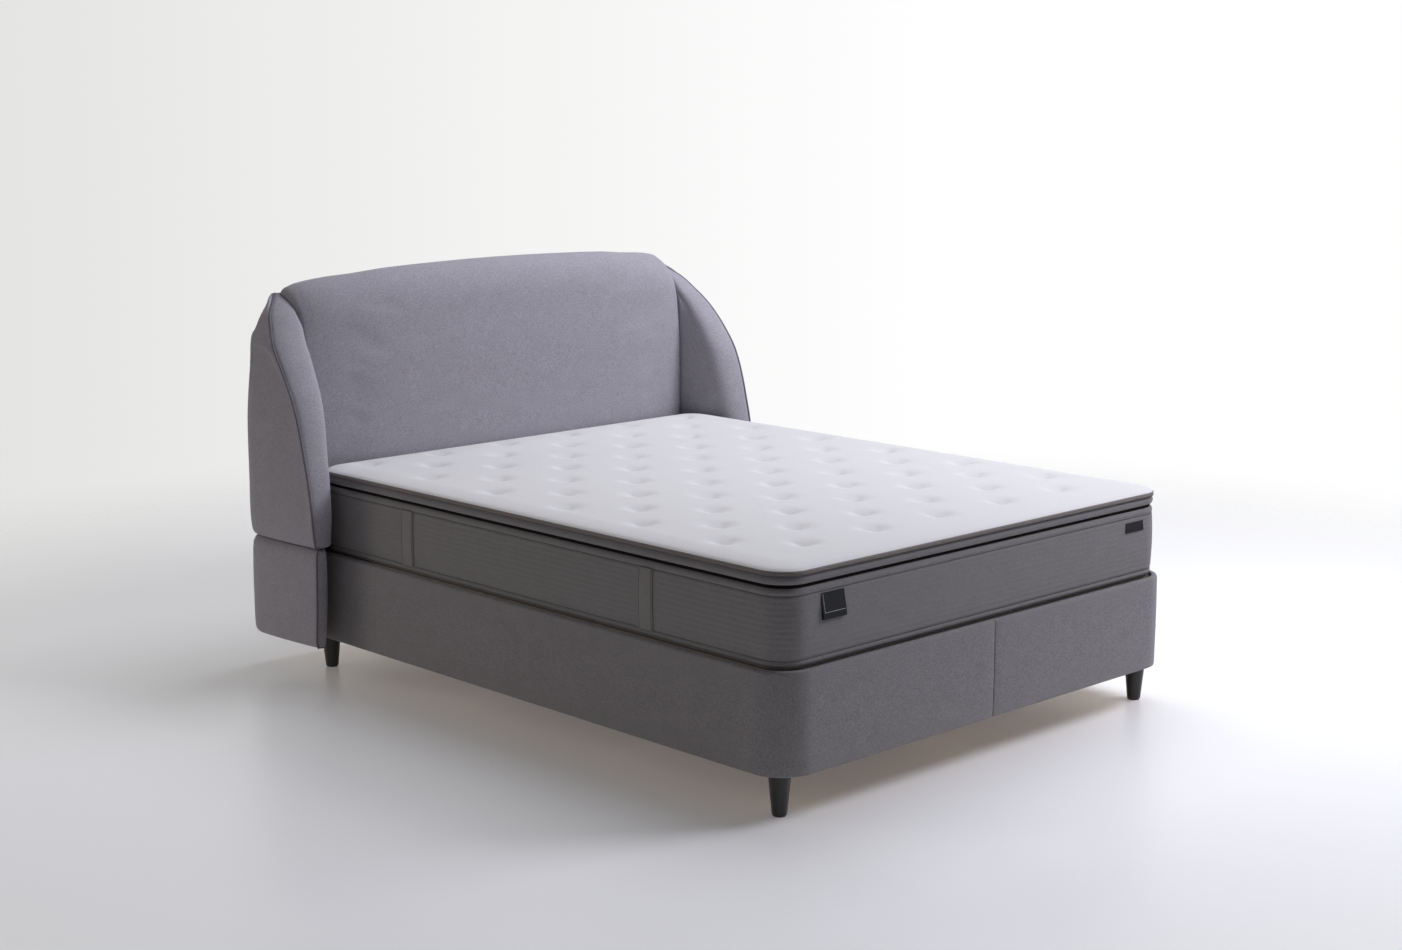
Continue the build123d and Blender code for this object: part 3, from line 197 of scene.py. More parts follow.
def between(rows, at):
    """The values that a smooth curve through the rows has at one place, never past its neighbours."""
    table = np.array(rows)
    spot = table[:, 0]
    value = table[:, 1:]
    step = np.diff(spot)[:, None]
    slope = np.diff(value, axis=0) / step
    lean = np.zeros_like(value)
    lean[0] = slope[0]
    lean[-1] = slope[-1]
    same = slope[:-1] * slope[1:] > 0
    total = np.where(same, slope[:-1] + slope[1:], 1.0)
    lean[1:-1] = np.where(same, 2 * slope[:-1] * slope[1:] / total, 0.0)
    i = int(np.clip(np.searchsorted(spot, at) - 1, 0, len(spot) - 2))
    h = step[i, 0]
    t = (at - spot[i]) / h
    return ((1 + 2 * t) * (1 - t) ** 2 * value[i] + t * (1 - t) ** 2 * h * lean[i]
            + t * t * (3 - 2 * t) * value[i + 1] + t * t * (t - 1) * h * lean[i + 1])


def arc(start, through, end, count):
    """Points of a shallow arc from start to end by way of a point at its middle."""
    start, through, end = (np.array(p, float) for p in (start, through, end))
    pull = 2 * through - (start + end) / 2
    t = np.linspace(0, 1, count)[:, None]
    return (1 - t) ** 2 * start + 2 * t * (1 - t) * pull + t * t * end


def spread(points, count):
    """The same line with its points at equal distances."""
    points = np.array(points, float)
    along = np.concatenate([[0], np.cumsum(np.linalg.norm(np.diff(points, axis=0), axis=1))])
    spots = np.linspace(0, along[-1], count)
    return np.stack([np.interp(spots, along, points[:, i]) for i in range(points.shape[1])], 1)


def drawn_in(distance, depth, width):
    """How far cloth sinks towards a seam at a distance from it."""
    share = np.clip(1 - np.asarray(distance) / width, 0, 1)
    return depth * share ** 2


def rounded_off(distance, radius):
    """How far a round edge of a radius falls away at a distance from its end."""
    return radius - math.sqrt(max(radius ** 2 - max(radius - distance, 0) ** 2, 0))


def ends_spaced(low, high, count, ease=0.6):
    """Places from low to high, closer together near both ends."""
    t = np.linspace(0, 1, count)
    eased = (1 - np.cos(np.pi * t)) / 2
    return low + (high - low) * (ease * eased + (1 - ease) * t)


def mesh_piece(name, points, faces, material, body, turn_sharp=50):
    """A piece from points and faces, with its doubles merged and its faces turned outwards."""
    mesh = bpy.data.meshes.new(name)
    mesh.from_pydata([tuple(p) for p in points], [], faces)
    work = bmesh.new()
    work.from_mesh(mesh)
    bmesh.ops.remove_doubles(work, verts=work.verts, dist=0.00002)
    bmesh.ops.recalc_face_normals(work, faces=work.faces)
    work.to_mesh(mesh)
    work.free()
    for face in mesh.polygons:
        face.use_smooth = True
    mesh.set_sharp_from_angle(angle=math.radians(turn_sharp))
    mesh.materials.append(material)
    piece = bpy.data.objects.new(name, mesh)
    scene.collection.objects.link(piece)
    if body:
        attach(piece, body)
    return piece


def joined(name, groups, material, body, looped=False, turn_sharp=50):
    """One piece from forms that are each a set of rings, with capped ends or closed to a loop."""
    points = []
    faces = []
    for rings in groups:
        rings = np.array(rings)
        count, around = rings.shape[:2]
        start = len(points)
        points.extend(rings.reshape(-1, 3))
        for k in range(count if looped else count - 1):
            here = start + k * around
            there = start + (k + 1) % count * around
            for i in range(around):
                j = (i + 1) % around
                faces.append((here + i, here + j, there + j, there + i))
        if not looped:
            faces.append(tuple(start + i for i in range(around)))
            faces.append(tuple(start + (count - 1) * around + i for i in range(around)))
    return mesh_piece(name, points, faces, material, body, turn_sharp)


def at_height(plan, height):
    """A plan outline as points at one height."""
    return np.column_stack([plan, np.full(len(plan), height)])


def inwards(loop, amount):
    """A plan outline with each point moved towards its inside."""
    ahead = np.roll(loop, -1, axis=0)
    behind = np.roll(loop, 1, axis=0)
    along = ahead - behind
    along /= np.maximum(np.linalg.norm(along, axis=1), 1e-9)[:, None]
    normal = np.stack([-along[:, 1], along[:, 0]], 1)
    area = np.sum(loop[:, 0] * ahead[:, 1] - ahead[:, 0] * loop[:, 1])
    return loop + normal * np.sign(area) * np.asarray(amount).reshape(-1, 1)


def puff(piece, held, pressure, cap):
    """Let a pad's cover swell and settle as cloth, held along its seams and on its boards."""
    group = piece.vertex_groups.new(name="held")
    for index, weight in enumerate(held):
        if weight > 0:
            group.add([index], float(weight), "REPLACE")
    swell = piece.modifiers.new("swell", "CLOTH")
    cloth = swell.settings
    cloth.quality = 4
    cloth.mass = 0.4
    cloth.tension_stiffness = 30
    cloth.compression_stiffness = 30
    cloth.shear_stiffness = 10
    cloth.bending_stiffness = 3
    cloth.use_pressure = True
    cloth.uniform_pressure_force = pressure
    cloth.effector_weights.gravity = 0
    cloth.vertex_group_mass = "held"
    swell.point_cache.frame_start = 1
    swell.point_cache.frame_end = 20
    for step in range(1, 21):
        scene.frame_set(step)
    settled = piece.evaluated_get(bpy.context.evaluated_depsgraph_get())
    count = len(piece.data.vertices)
    before = np.empty(count * 3)
    after = np.empty(count * 3)
    piece.data.vertices.foreach_get("co", before)
    settled.data.vertices.foreach_get("co", after)
    moved = (after - before).reshape(-1, 3)
    far = np.linalg.norm(moved, axis=1)
    moved *= (np.tanh(far / cap) * cap / np.maximum(far, 1e-9))[:, None]
    piece.modifiers.remove(swell)
    scene.frame_set(1)
    piece.data.vertices.foreach_set("co", before + moved.ravel())
    piece.data.update()


def seam_measured(skin, lining):
    """A pad's whole outline, and how far each point of its skin lies from the piping seam."""
    run = np.linalg.norm(np.diff(skin, axis=0), axis=1)
    along = np.concatenate([[0], np.cumsum(run), np.full(len(lining), on_board)])
    along[-1] = 0
    return np.concatenate([skin, lining]), along


def outer_outline(height, rows):
    """Plan outline of an outer pad, and how far each point lies from the piping seam."""
    front, rear, corner, wide, edge = between(rows, height)[:5]
    fullest = ((wide + edge) / 2 + (wide - edge) * outer_fullness, (rear - corner + front) / 2)
    curve = arc((edge, front), fullest, (wide, rear - corner), 24)
    turn = np.radians(np.linspace(0, 90, 16))
    bend = np.stack([wide - corner + corner * np.cos(turn),
                     rear - corner + corner * np.sin(turn)], 1)
    skin = spread(np.concatenate([curve, bend, [(centre_half + cushion_gap, rear)]]),
                  outer_skin_points)
    above = np.clip((height - frame_top - 0.002) / 0.012, 0, 1)
    board_x = min(board_outer, edge - board_clear, wide - corner_room_across * corner * above)
    board_y = min(front + pad_over_board, cheek_rear)
    behind = min(behind_frame, rear - rear_clear - corner_room_behind * corner * above)
    lining = spread([(centre_half + cushion_gap, behind), (board_x, behind),
                     (board_x, min(board_y, behind - seam_return)),
                     (edge - 0.003, front + seam_return)], outer_lining_points)
    return seam_measured(skin, lining)


def front_outline(height, rows):
    """Plan outline of a front pad, and how far each point lies from the piping seam."""
    front, rear, _, _, edge, face, roll, lead = between(rows, height)
    low = rows is lower_wing
    inner = lower_pad_inner if low else centre_half + cushion_gap
    face_end = edge - face
    first = front - lead
    turned = (face_end - roll, first + roll)
    crease = max(crease_front, first + roll + crease_clear)
    slant = 1 - math.cos(math.radians(45))
    fall = arc((edge, front), (edge - face * 0.42, first + lead * 0.36 - face * 0.05),
               (face_end, first), 14)
    bend = arc((face_end, first), (face_end - roll * (1 - slant), first + roll * slant), turned, 14)
    over_frame = np.clip((height - frame_top) / 0.004, 0, 1)
    if low:
        stop = [(inner, cheek_rear), (post_outer, cheek_rear)]
    else:
        far = min(frame_front + over_frame * (behind_frame - frame_front), rear - seam_return)
        far = max(far, crease + rear_clear)
        stop = [(inner, far), (min(post_outer, edge - post_clear) - part_gap, far)]
    skin = np.concatenate([spread(np.concatenate([fall, bend[1:], [(inner, crease)]]),
                                  front_skin_points),
                           spread([(inner, crease), stop[0]], front_side_points)[1:]])
    board_x = min(board_outer, edge - board_clear) - part_gap
    board_y = min(front + pad_over_board, cheek_rear)
    lining = spread([stop[1], (stop[1][0], min(board_y, stop[1][1])), (board_x, board_y),
                     (edge - 0.0034, front + seam_return)], front_lining_points)
    return seam_measured(skin, lining)


for pad, outline in (("outer", outer_outline), ("front", front_outline)):
    for level, rows in (("upper", upper_wing), ("lower", lower_wing)):
        bottom, top = rows[0][0], rows[-1][0]
        heights = ends_spaced(bottom, top, 84 if level == "upper" else 44, 0.75)
        rings = []
        held = []
        for height in heights:
            loop, along = outline(height, rows)
            seam = min(height - bottom, top - height)
            amount = drawn_in(along, piping_pull, piping_pull_reach)
            amount += rounded_off(seam, pad_softness) * 0.9
            amount += drawn_in(seam, seam_pull, seam_pull_reach)
            amount[-1] = 0
            front, rear = between(rows, height)[:2]
            amount = np.minimum(amount, (rear - front) * thinnest_share)
            loop = inwards(loop, np.where(along < on_board, amount, 0))
            rings.append(at_height(loop, height))
            hold = np.where(along < on_board, np.clip(1 - along / stapled_reach, 0, 1), 1.0)
            held.append(np.maximum(hold, np.clip(1 - seam / stapled_reach, 0, 1)))
        rings = np.array(rings)
        held = np.concatenate(held)
        for side, sign in SIDES:
            name = f"wing_{pad}_pad_{level}_{side}"
            placed = rings.copy()
            placed[:, :, 0] *= sign
            piece = joined(name + "_cover", [placed], wing_cloth, "base")
            if len(piece.data.vertices) == len(held):
                puff(piece, held, pad_pressure, pad_swell)
            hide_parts(name)


# Piping of the wings: a cord in a strip of the same cloth, sewn into the seam between the outer
# and the front pad, from the bottom of each wing up over its shoulder.
# This copy of the cloth is coloured darker than the wings', a painted shade along the seam.
piping_cloth_painted_shade = woven("brushed_polyester_weave_piping_painted_shade", "#5c595f", "#7d7a82", UPHOLSTERY,
                     0.0026, 0.0005)[0]
piping_radius = 0.0034
piping_sink = (0.0006, 0.0004)
piping_points = 220
piping_sides = 12


def tube_rings(path, radius, around):
    """Rings of a round cord along a path."""
    along = np.gradient(path, axis=0)
    along /= np.linalg.norm(along, axis=1)[:, None]
    side = np.array((1.0, 0.0, 0.0))
    rings = []
    for spot, way in zip(path, along):
        side = side - way * np.dot(side, way)
        side /= np.linalg.norm(side)
        up = np.cross(way, side)
        turn = np.linspace(0, 2 * np.pi, around, endpoint=False)
        rings.append(spot + radius * (np.outer(np.cos(turn), side) + np.outer(np.sin(turn), up)))
    return np.array(rings)


for side, sign in SIDES:
    path = []
    for rows in (lower_wing[1:], upper_wing):
        for height in np.linspace(rows[0][0], rows[-1][0], 90 if rows is upper_wing else 40):
            front, _, _, _, edge = between(rows, height)[:5]
            path.append((sign * (edge - piping_sink[0]), front + piping_sink[1], height))
    path = spread(path, piping_points)
    piece = joined(f"wing_piping_{side}_cord", [tube_rings(path, piping_radius, piping_sides)],
                   piping_cloth_painted_shade, "base")
    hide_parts(f"wing_piping_{side}")


# Centre cushion of the headboard: one large foam cushion in front of the frame and over its top,
# in the same cloth. It is stapled below and behind, and pressed against the wings, which makes
# the dark creases at its two sides.
cushion_half = 0.7847
# across, bulge y, bottom y, upper y and z, crest y and z, rear y and z
cushion_rows = (
    (0.0000, 0.9050, 0.9240, 0.9160, 1.0401, 0.9980, 1.2320, 1.1090, 1.1400),
    (0.1121, 0.9052, 0.9241, 0.9162, 1.0396, 0.9980, 1.2314, 1.1090, 1.1394),
    (0.2242, 0.9060, 0.9246, 0.9170, 1.0382, 0.9980, 1.2295, 1.1090, 1.1375),
    (0.3363, 0.9074, 0.9255, 0.9182, 1.0364, 0.9980, 1.2268, 1.1090, 1.1348),
    (0.4484, 0.9098, 0.9267, 0.9204, 1.0335, 0.9983, 1.2226, 1.1090, 1.1311),
    (0.5605, 0.9150, 0.9302, 0.9250, 1.0271, 1.0091, 1.2124, 1.1090, 1.1233),
    (0.6726, 0.9250, 0.9368, 0.9340, 1.0146, 1.0297, 1.2019, 1.1084, 1.1118),
    (0.7450, 0.9380, 0.9460, 0.9480, 0.9980, 1.0520, 1.1890, 1.1075, 1.1125),
    (cushion_half, 0.9520, 0.9570, 0.9620, 0.9750, 1.0720, 1.1710, 1.1055, 1.1000),
)
cushion_bottom = 0.392
bulge_height = 0.860
cushion_rings = 132
cushion_skin_points = 112
cushion_lining_points = 42
cushion_softness = 0.010
cushion_pressure = 1.5
cushion_swell = 0.003
shoulder_reach = 0.07


def cushion_outline(across):
    """Upright outline of the centre cushion at a distance from the middle."""
    bulge, low, upper_y, upper_z, crest_y, crest_z, rear_y, rear_z = between(cushion_rows, across)
    upper = np.array((upper_y, upper_z))
    crest = np.array((crest_y, crest_z))
    rear = np.array((rear_y, rear_z))
    shoulder = upper + (crest - upper) * (0.22, 0.66)
    over = crest + (rear - crest) * (0.68, 0.28)
    front = arc((low, cushion_bottom), (bulge, bulge_height), upper, 30)
    top = arc(upper, shoulder, crest, 24)
    back = arc(crest, over, rear, 20)
    skin = spread(np.concatenate([front, top[1:], back[1:], [(rear_y, frame_top)]]),
                  cushion_skin_points)
    ease = np.exp(-((skin[1:-1, 1:] - upper_z) / shoulder_reach) ** 2)
    ease = 0.5 * ease * (skin[1:-1, :1] < crest_y)
    for _ in range(30):
        skin[1:-1] += ease * ((skin[:-2] + skin[2:]) / 2 - skin[1:-1])
    lining = spread([(rear_y, frame_top), (frame_front, frame_top), (frame_front, cushion_bottom),
                     (low, cushion_bottom)], cushion_lining_points)[1:-1]
    return np.concatenate([skin, lining])


rings = []
held = []
for across in ends_spaced(-cushion_half, cushion_half, cushion_rings, 0.35):
    edge = cushion_half - abs(across)
    loop = cushion_outline(abs(across))
    amount = np.full(len(loop), rounded_off(edge, cushion_softness) * 0.6)
    amount[cushion_skin_points:] = 0
    amount[:6] *= np.linspace(0, 1, 6)
    loop = inwards(loop, amount)
    rings.append(np.column_stack([np.full(len(loop), across), loop]))
    hold = np.zeros(len(loop))
    hold[cushion_skin_points - 8:] = 1
    hold[:5] = 1
    held.append(np.maximum(hold, np.clip(1 - edge / stapled_reach, 0, 1)))
cushion = joined("headboard_centre_cushion_cover", [rings], wing_cloth, "base")
if len(cushion.data.vertices) == len(held) * len(held[0]):
    puff(cushion, np.concatenate(held), cushion_pressure, cushion_swell)
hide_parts("headboard_centre_cushion")


# Back of the headboard: a black non-woven cloth stapled over the back board. The staples are
# flat steel wire, one each 45 mm along the edge of the cloth.
back_cloth = woven("spunbond_polypropylene_black", "#1d1d1f", "#2c2c2f", {"Roughness": 0.85},
                   0.004, 0.0003)[0]
nodes["headboard_back_cloth"].data.materials.clear()
nodes["headboard_back_cloth"].data.materials.append(back_cloth)
staple_steel, tree, place, shader = finish(
    "galvanised_staple_wire", {"Base Color": linear("#b9bcc0"), "Metallic": 1.0})
glossed(tree, place, shader, 300.0, 0.3, 0.5)


def repeat_tree(name):
    """Geometry Nodes that set one small form at equal steps on an edge path."""
    tree = bpy.data.node_groups.new(name, "GeometryNodeTree")
    sockets = {}
    for label, kind, way in (("Path", "NodeSocketGeometry", "INPUT"),
                             ("Pitch", "NodeSocketFloat", "INPUT"),
                             ("Length", "NodeSocketFloat", "INPUT"),
                             ("Thickness", "NodeSocketFloat", "INPUT"),
                             ("Finish", "NodeSocketMaterial", "INPUT"),
                             ("Geometry", "NodeSocketGeometry", "OUTPUT")):
        sockets[label] = tree.interface.new_socket(label, in_out=way, socket_type=kind).identifier
    start = add(tree, "NodeGroupInput")
    form = add(tree, "GeometryNodeMeshUVSphere", {"Segments": 6, "Rings": 4, "Radius": 1.0})
    size = add(tree, "ShaderNodeCombineXYZ", {}, {"X": (start, "Length"), "Y": (start, "Thickness"),
                                                  "Z": (start, "Thickness")})
    shaped = add(tree, "GeometryNodeTransform", {}, {"Geometry": (form, "Mesh"),
                                                    "Scale": (size, "Vector")})
    curve = add(tree, "GeometryNodeMeshToCurve", {}, {"Mesh": (start, "Path")})
    steps = add(tree, "GeometryNodeResampleCurve", {"mode": "LENGTH"},
                {"Curve": (curve, "Curve"), "Length": (start, "Pitch")})
    tangent = add(tree, "GeometryNodeInputTangent")
    aim = add(tree, "FunctionNodeAlignRotationToVector", {"axis": "X"},
              {"Vector": (tangent, "Tangent")})
    spots = add(tree, "GeometryNodeInstanceOnPoints", {},
                {"Points": (steps, "Curve"), "Instance": (shaped, "Geometry"),
                 "Rotation": (aim, "Rotation")})
    real = add(tree, "GeometryNodeRealizeInstances", {}, {"Geometry": (spots, "Instances")})
    dressed = add(tree, "GeometryNodeSetMaterial", {},
                  {"Geometry": (real, "Geometry"), "Material": (start, "Finish")})
    add(tree, "NodeGroupOutput", {}, {"Geometry": (dressed, "Geometry")})
    return tree, sockets


stitch_tree, stitch_sockets = repeat_tree("stitches_on_a_path")


def stitched(name, paths, thread, material, body):
    """Stitches along paths, each a list of points. The thread: pitch, length and thickness."""
    pitch, length, thickness = thread
    points = []
    edges = []
    for path in paths:
        start = len(points)
        points.extend(tuple(p) for p in path)
        edges.extend((i, i + 1) for i in range(start, len(points) - 1))
    mesh = bpy.data.meshes.new(name + "_path")
    mesh.from_pydata(points, edges, [])
    carrier = bpy.data.objects.new(name + "_path", mesh)
    scene.collection.objects.link(carrier)
    maker = carrier.modifiers.new("stitches", "NODES")
    maker.node_group = stitch_tree
    for label, value in (("Pitch", pitch), ("Length", length / 2), ("Thickness", thickness / 2),
                         ("Finish", material)):
        maker[stitch_sockets[label]] = value
    made = carrier.evaluated_get(bpy.context.evaluated_depsgraph_get())
    result = bpy.data.meshes.new_from_object(made)
    carrier.modifiers.remove(maker)
    bpy.data.objects.remove(carrier)
    result.name = name
    if not result.materials:
        result.materials.append(material)
    for face in result.polygons:
        face.use_smooth = True
    piece = bpy.data.objects.new(name, result)
    scene.collection.objects.link(piece)
    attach(piece, body)
    return piece


staple_inset = 0.012
staple_proud = 0.0002
side_row_inset = 0.05
staple_wire = (0.045, 0.011, 0.0012)
cloth_low, cloth_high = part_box("headboard_back_cloth")
staple_x = centre_half - staple_inset
staple_y = cloth_high[1] + staple_proud
staple_paths = [[(-staple_x, staple_y, z), (staple_x, staple_y, z)]
                for z in (cloth_low[2] + staple_inset, cloth_high[2] - staple_inset)]
staple_paths += [[(sign * staple_x, staple_y, cloth_low[2] + side_row_inset),
                  (sign * staple_x, staple_y, cloth_high[2] - side_row_inset)]
                 for _, sign in SIDES]
staples = stitched("headboard_back_staples", staple_paths, staple_wire, staple_steel, "base")


# Base cover: thin foam and the same brushed cloth over the plywood box, in two halves that meet
# in a tucked seam at the middle of the foot. The cloth turns over the top edge and is stapled
# below.
# This copy of the cloth is coloured darker and less blue than the headboard's, a painted shade for
# the lower, less lit box.
base_cloth_painted_shade = woven("brushed_polyester_weave_base_painted_shade", "#6b6868", "#999596", UPHOLSTERY,
                   0.0038, 0.0007)[0]
base_half = 0.817
base_foot = -1.110
base_head = 0.984
base_corner = 0.105
foot_points = 60
side_points = 120
corner_points = 22
tucks = (0.0034, 0.0018, 0.0006)
seam_rings = (0.0003, 0.0010, 0.0030, 0.0070)
# how far in from the outer face, and height
cover_profile = [(0.0038, 0.1142), (0.0024, 0.1140), (0.0008, 0.1148), (0.0002, 0.1172)]
cover_profile += [(-0.0012 * math.sin(math.pi * (z - 0.1172) / 0.2578), z)
                  for z in np.linspace(0.125, 0.370, 26)]
cover_profile += [(0.009 - 0.009 * math.cos(a), 0.375 + 0.009 * math.sin(a))
                  for a in np.radians(np.linspace(0, 90, 9))]
cover_profile += [(0.0125, 0.3840), (0.0158, 0.3830), (0.0158, 0.3806), (0.0100, 0.3804),
                  (0.0044, 0.3802), (0.0038, 0.3780)]
cover_profile += [(0.0038, z) for z in np.linspace(0.36, 0.13, 10)]


def cover_path(inset):
    """One half of the base's plan outline, from the middle of the foot to the head."""
    radius = base_corner - inset
    turn = np.radians(np.linspace(-90, 0, corner_points))
    corner = np.stack([base_half - base_corner + radius * np.cos(turn),
                       base_foot + base_corner + radius * np.sin(turn)], 1)
    foot = np.linspace(seam_rings[0], base_half - base_corner, foot_points)[:-1]
    side = np.linspace(base_foot + base_corner, base_head, side_points)[1:]
    return np.concatenate([np.stack([foot, np.full(len(foot), base_foot + inset)], 1), corner,
                           np.stack([np.full(len(side), base_half - inset), side], 1)])


for side, sign in SIDES:
    lines = [at_height(cover_path(inset), height) for inset, height in cover_profile]
    rings = np.array(lines).transpose(1, 0, 2)
    for k, tuck in enumerate(tucks):
        rings[k, 1:-12, 1] += tuck
    for k, x in enumerate(seam_rings):
        rings[k, :, 0] = x
    rings[:, :, 0] *= sign
    piece = joined(f"base_cover_{side}_cloth", [rings], base_cloth_painted_shade, "base")
    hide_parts(f"base_cover_{side}")


# Legs: turned beech in satin black paint, tapered, screwed up into the corner boards, each on a
# plastic glide. The two hidden ones under the centre board are plain.
black_paint, tree, place, shader = finish(
    "satin_black_paint_on_beech",
    {"Base Color": linear("#0f0e0e"), "Coat Weight": 0.08, "Coat Roughness": 0.3})
stretch = add(tree, "ShaderNodeMapping", {"Scale": (6.0, 6.0, 0.6)}, {"Vector": (place, "Object")})
grain = add(tree, "ShaderNodeTexNoise", {"Scale": 60.0, "Detail": 4.0},
            {"Vector": (stretch, "Vector")})
worn = add(tree, "ShaderNodeMapRange", {"To Min": 0.32, "To Max": 0.46}, {"Value": (grain, "Fac")})
raised = add(tree, "ShaderNodeBump", {"Strength": 0.15, "Distance": 0.0003},
             {"Height": (grain, "Fac")})
feed(shader, {"Roughness": (worn, "Result"), "Normal": (raised, "Normal")})


def turned_rings(x, y, profile, around=48):
    """Rings of a turned form, from radius and height pairs."""
    turn = np.linspace(0, 2 * np.pi, around, endpoint=False)
    return [at_height(np.column_stack([x + r * np.cos(turn), y + r * np.sin(turn)]), z)
            for r, z in profile]


leg_profile = [(0.0165, 0.0031), (0.0180, 0.0032), (0.0190, 0.0038), (0.0195, 0.0050)]
leg_profile += [(0.0195 + 0.0105 * t, 0.005 + 0.108 * t) for t in np.linspace(0.04, 1, 9)]
leg_profile += [(0.0297, 0.1137), (0.0285, 0.1139)]
leg_spots = [(sign * 0.752, y) for _, sign in SIDES for y in (-1.038, 0.912)]
legs = joined("corner_legs_turned", [turned_rings(x, y, leg_profile) for x, y in leg_spots],
              black_paint, "base", turn_sharp=40)
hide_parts("corner_legs")


# Frame and floor of the base and the headboard: raw birch plywood, hardboard and pine, cut
# square and screwed, seen only from below or with the platform lifted.
def timbered(name, dark, light, rings_scale, lengthwise, surface, fibre=0.9):
    """Sawn wood whose grain runs along one axis, with fine fibre lines."""
    material, tree, place, shader = finish(name, surface)
    scale = [rings_scale, rings_scale, rings_scale]
    scale["XYZ".index(lengthwise)] = rings_scale / 14
    stretch = add(tree, "ShaderNodeMapping", {"Scale": scale}, {"Vector": (place, "Object")})
    grain = add(tree, "ShaderNodeTexNoise", {"Scale": 1.0, "Detail": 5.0, "Roughness": 0.62,
                                             "Distortion": fibre}, {"Vector": (stretch, "Vector")})
    relief = add(tree, "ShaderNodeBump", {"Strength": 0.3, "Distance": 0.0004},
                 {"Height": (grain, "Fac")})
    feed(shader, {"Base Color": (ramped(tree, (grain, "Fac"), dark, light, 0.32, 0.68), "Color"),
                  "Normal": (relief, "Normal")})
    return material


def dress(slot, material, *names):
    """Give rigid CAD nodes their finish. The slot is not used."""
    for name in names:
        data = nodes[name].data
        data.materials.clear()
        data.materials.append(material)


birch = timbered("sanded_birch_plywood", "#b08d62", "#d9bd92", 55.0, "Y", {"Roughness": 0.62})
dress("plywood", birch, "base_side_panels", "base_foot_panels", "base_head_panel",
      "base_floor_boards", "wing_boards", "headboard_front_board")
hardboard = timbered("pressed_hardboard", "#7a5436", "#936a48", 160.0, "X", {"Roughness": 0.7}, 0.2)
dress("hardboard", hardboard, "base_floor_panels", "headboard_back_board")
pine = timbered("planed_pine", "#c79b5f", "#e6c48c", 40.0, "Z", {"Roughness": 0.6})
dress("timber", pine, "headboard_uprights", "headboard_rails")
dress("dark_wood", black_paint, "centre_legs")


# Fastenings: zinc plated screws, bolts, tee nuts and angles, driven into the wood.
zinc, tree, place, shader = finish(
    "bright_zinc_plated_steel", {"Base Color": linear("#c3c6cb"), "Metallic": 1.0})
glossed(tree, place, shader, 220.0, 0.26, 0.42)
dress("zinc_steel", zinc, "leg_studs", "leg_tee_nuts", "base_corner_brackets",
      "base_bracket_screws", "headboard_bolts", "wing_bolts", "lift_plate_screws")


# Glides under the legs: moulded black polyethylene discs, nailed on.
glide, tree, place, shader = finish(
    "moulded_polyethylene_black", {"Base Color": linear("#18181a"), "Roughness": 0.5})
pebble = add(tree, "ShaderNodeTexNoise", {"Scale": 900.0}, {"Vector": (place, "Object")})
moulded = add(tree, "ShaderNodeBump", {"Strength": 0.2, "Distance": 0.0002},
              {"Height": (pebble, "Fac")})
feed(shader, {"Normal": (moulded, "Normal")})
dress("glide_plastic", glide, "leg_glides")


# Lift linkage and platform: powder-coated steel arms, plates and tubes, gas struts with polished
# rods, bent beech slats in plastic holders, and a webbing strap to pull.
def coated(name, colour, roughness, pimple):
    """Powder coat: a fine orange-peel over one colour."""
    material, tree, place, shader = finish(name, {"Base Color": linear(colour),
                                                  "Specular IOR Level": 0.5})
    peel = glossed(tree, place, shader, 1 / pimple, roughness - 0.06, roughness + 0.06, 1.0)
    relief = add(tree, "ShaderNodeBump", {"Strength": 0.2, "Distance": 0.0002},
                 {"Height": (peel, "Fac")})
    feed(shader, {"Normal": (relief, "Normal")})
    return material


black_coat = coated("powder_coated_steel_black", "#232427", 0.42, 0.0025)
dress("black_steel", black_coat, "lift_base_plates", "lift_base_pins", "lift_main_arms",
      "lift_front_arms", "lift_gas_cylinders", "platform_brackets", "platform_pins")
grey_coat = coated("powder_coated_tube_grey", "#55585c", 0.45, 0.0025)
dress("tube_paint", grey_coat, "platform_side_tubes", "platform_cross_tubes")
chrome, tree, place, shader = finish(
    "chromed_rod_steel", {"Base Color": linear("#d6d8dc"), "Metallic": 1.0})
glossed(tree, place, shader, 700.0, 0.08, 0.16)
dress("rod_steel", chrome, "lift_gas_rods")
slat_beech = timbered("lacquered_beech_slat", "#c49a6c", "#dcb98c", 70.0, "X",
                      {"Roughness": 0.4, "Coat Weight": 0.2})
dress("slat_wood", slat_beech, "platform_slats")
holder = coated("moulded_polypropylene_black", "#1b1b1d", 0.5, 0.0015)
dress("holder_plastic", holder, "platform_slat_holders")
strap_weave = woven("woven_polyester_webbing_black", "#1f1f21", "#3a3a3d", {"Roughness": 0.8},
                    0.0022, 0.0005)[0]
dress("strap_webbing", strap_weave, "platform_pull_strap")


# Fillings of the mattress: a pocket spring core in white non-woven cloth between two layers of
# foam, and a softer foam under the pillow top, glued together.
foam, tree, place, shader = finish("open_cell_polyurethane_foam",
                                   {"Roughness": 0.95, "Subsurface Weight": 0.1})
cells = add(tree, "ShaderNodeTexVoronoi", {"Scale": 420.0}, {"Vector": (place, "Object")})
tone = ramped(tree, (cells, "Distance"), "#d8cfae", "#efe8cf")
pores = add(tree, "ShaderNodeBump", {"Strength": 0.4, "Distance": 0.0006},
            {"Height": (cells, "Distance")})
feed(shader, {"Base Color": (tone, "Color"), "Normal": (pores, "Normal")})
dress("foam", foam, "mattress_base_foam", "mattress_comfort_foam", "mattress_top_foam")
pocket_cloth, tree, place, shader = finish("spunbond_pocket_cloth_white", {"Roughness": 0.85})
pockets = add(tree, "ShaderNodeTexWave", {"Scale": 5.2, "Distortion": 0.0, "bands_direction": "X"},
              {"Vector": (place, "Object")})
gather = ramped(tree, (pockets, "Fac"), "#b9babd", "#eceded")
feed(shader, {"Base Color": (gather, "Color")})
dress("spring_core", pocket_cloth, "mattress_spring_core")


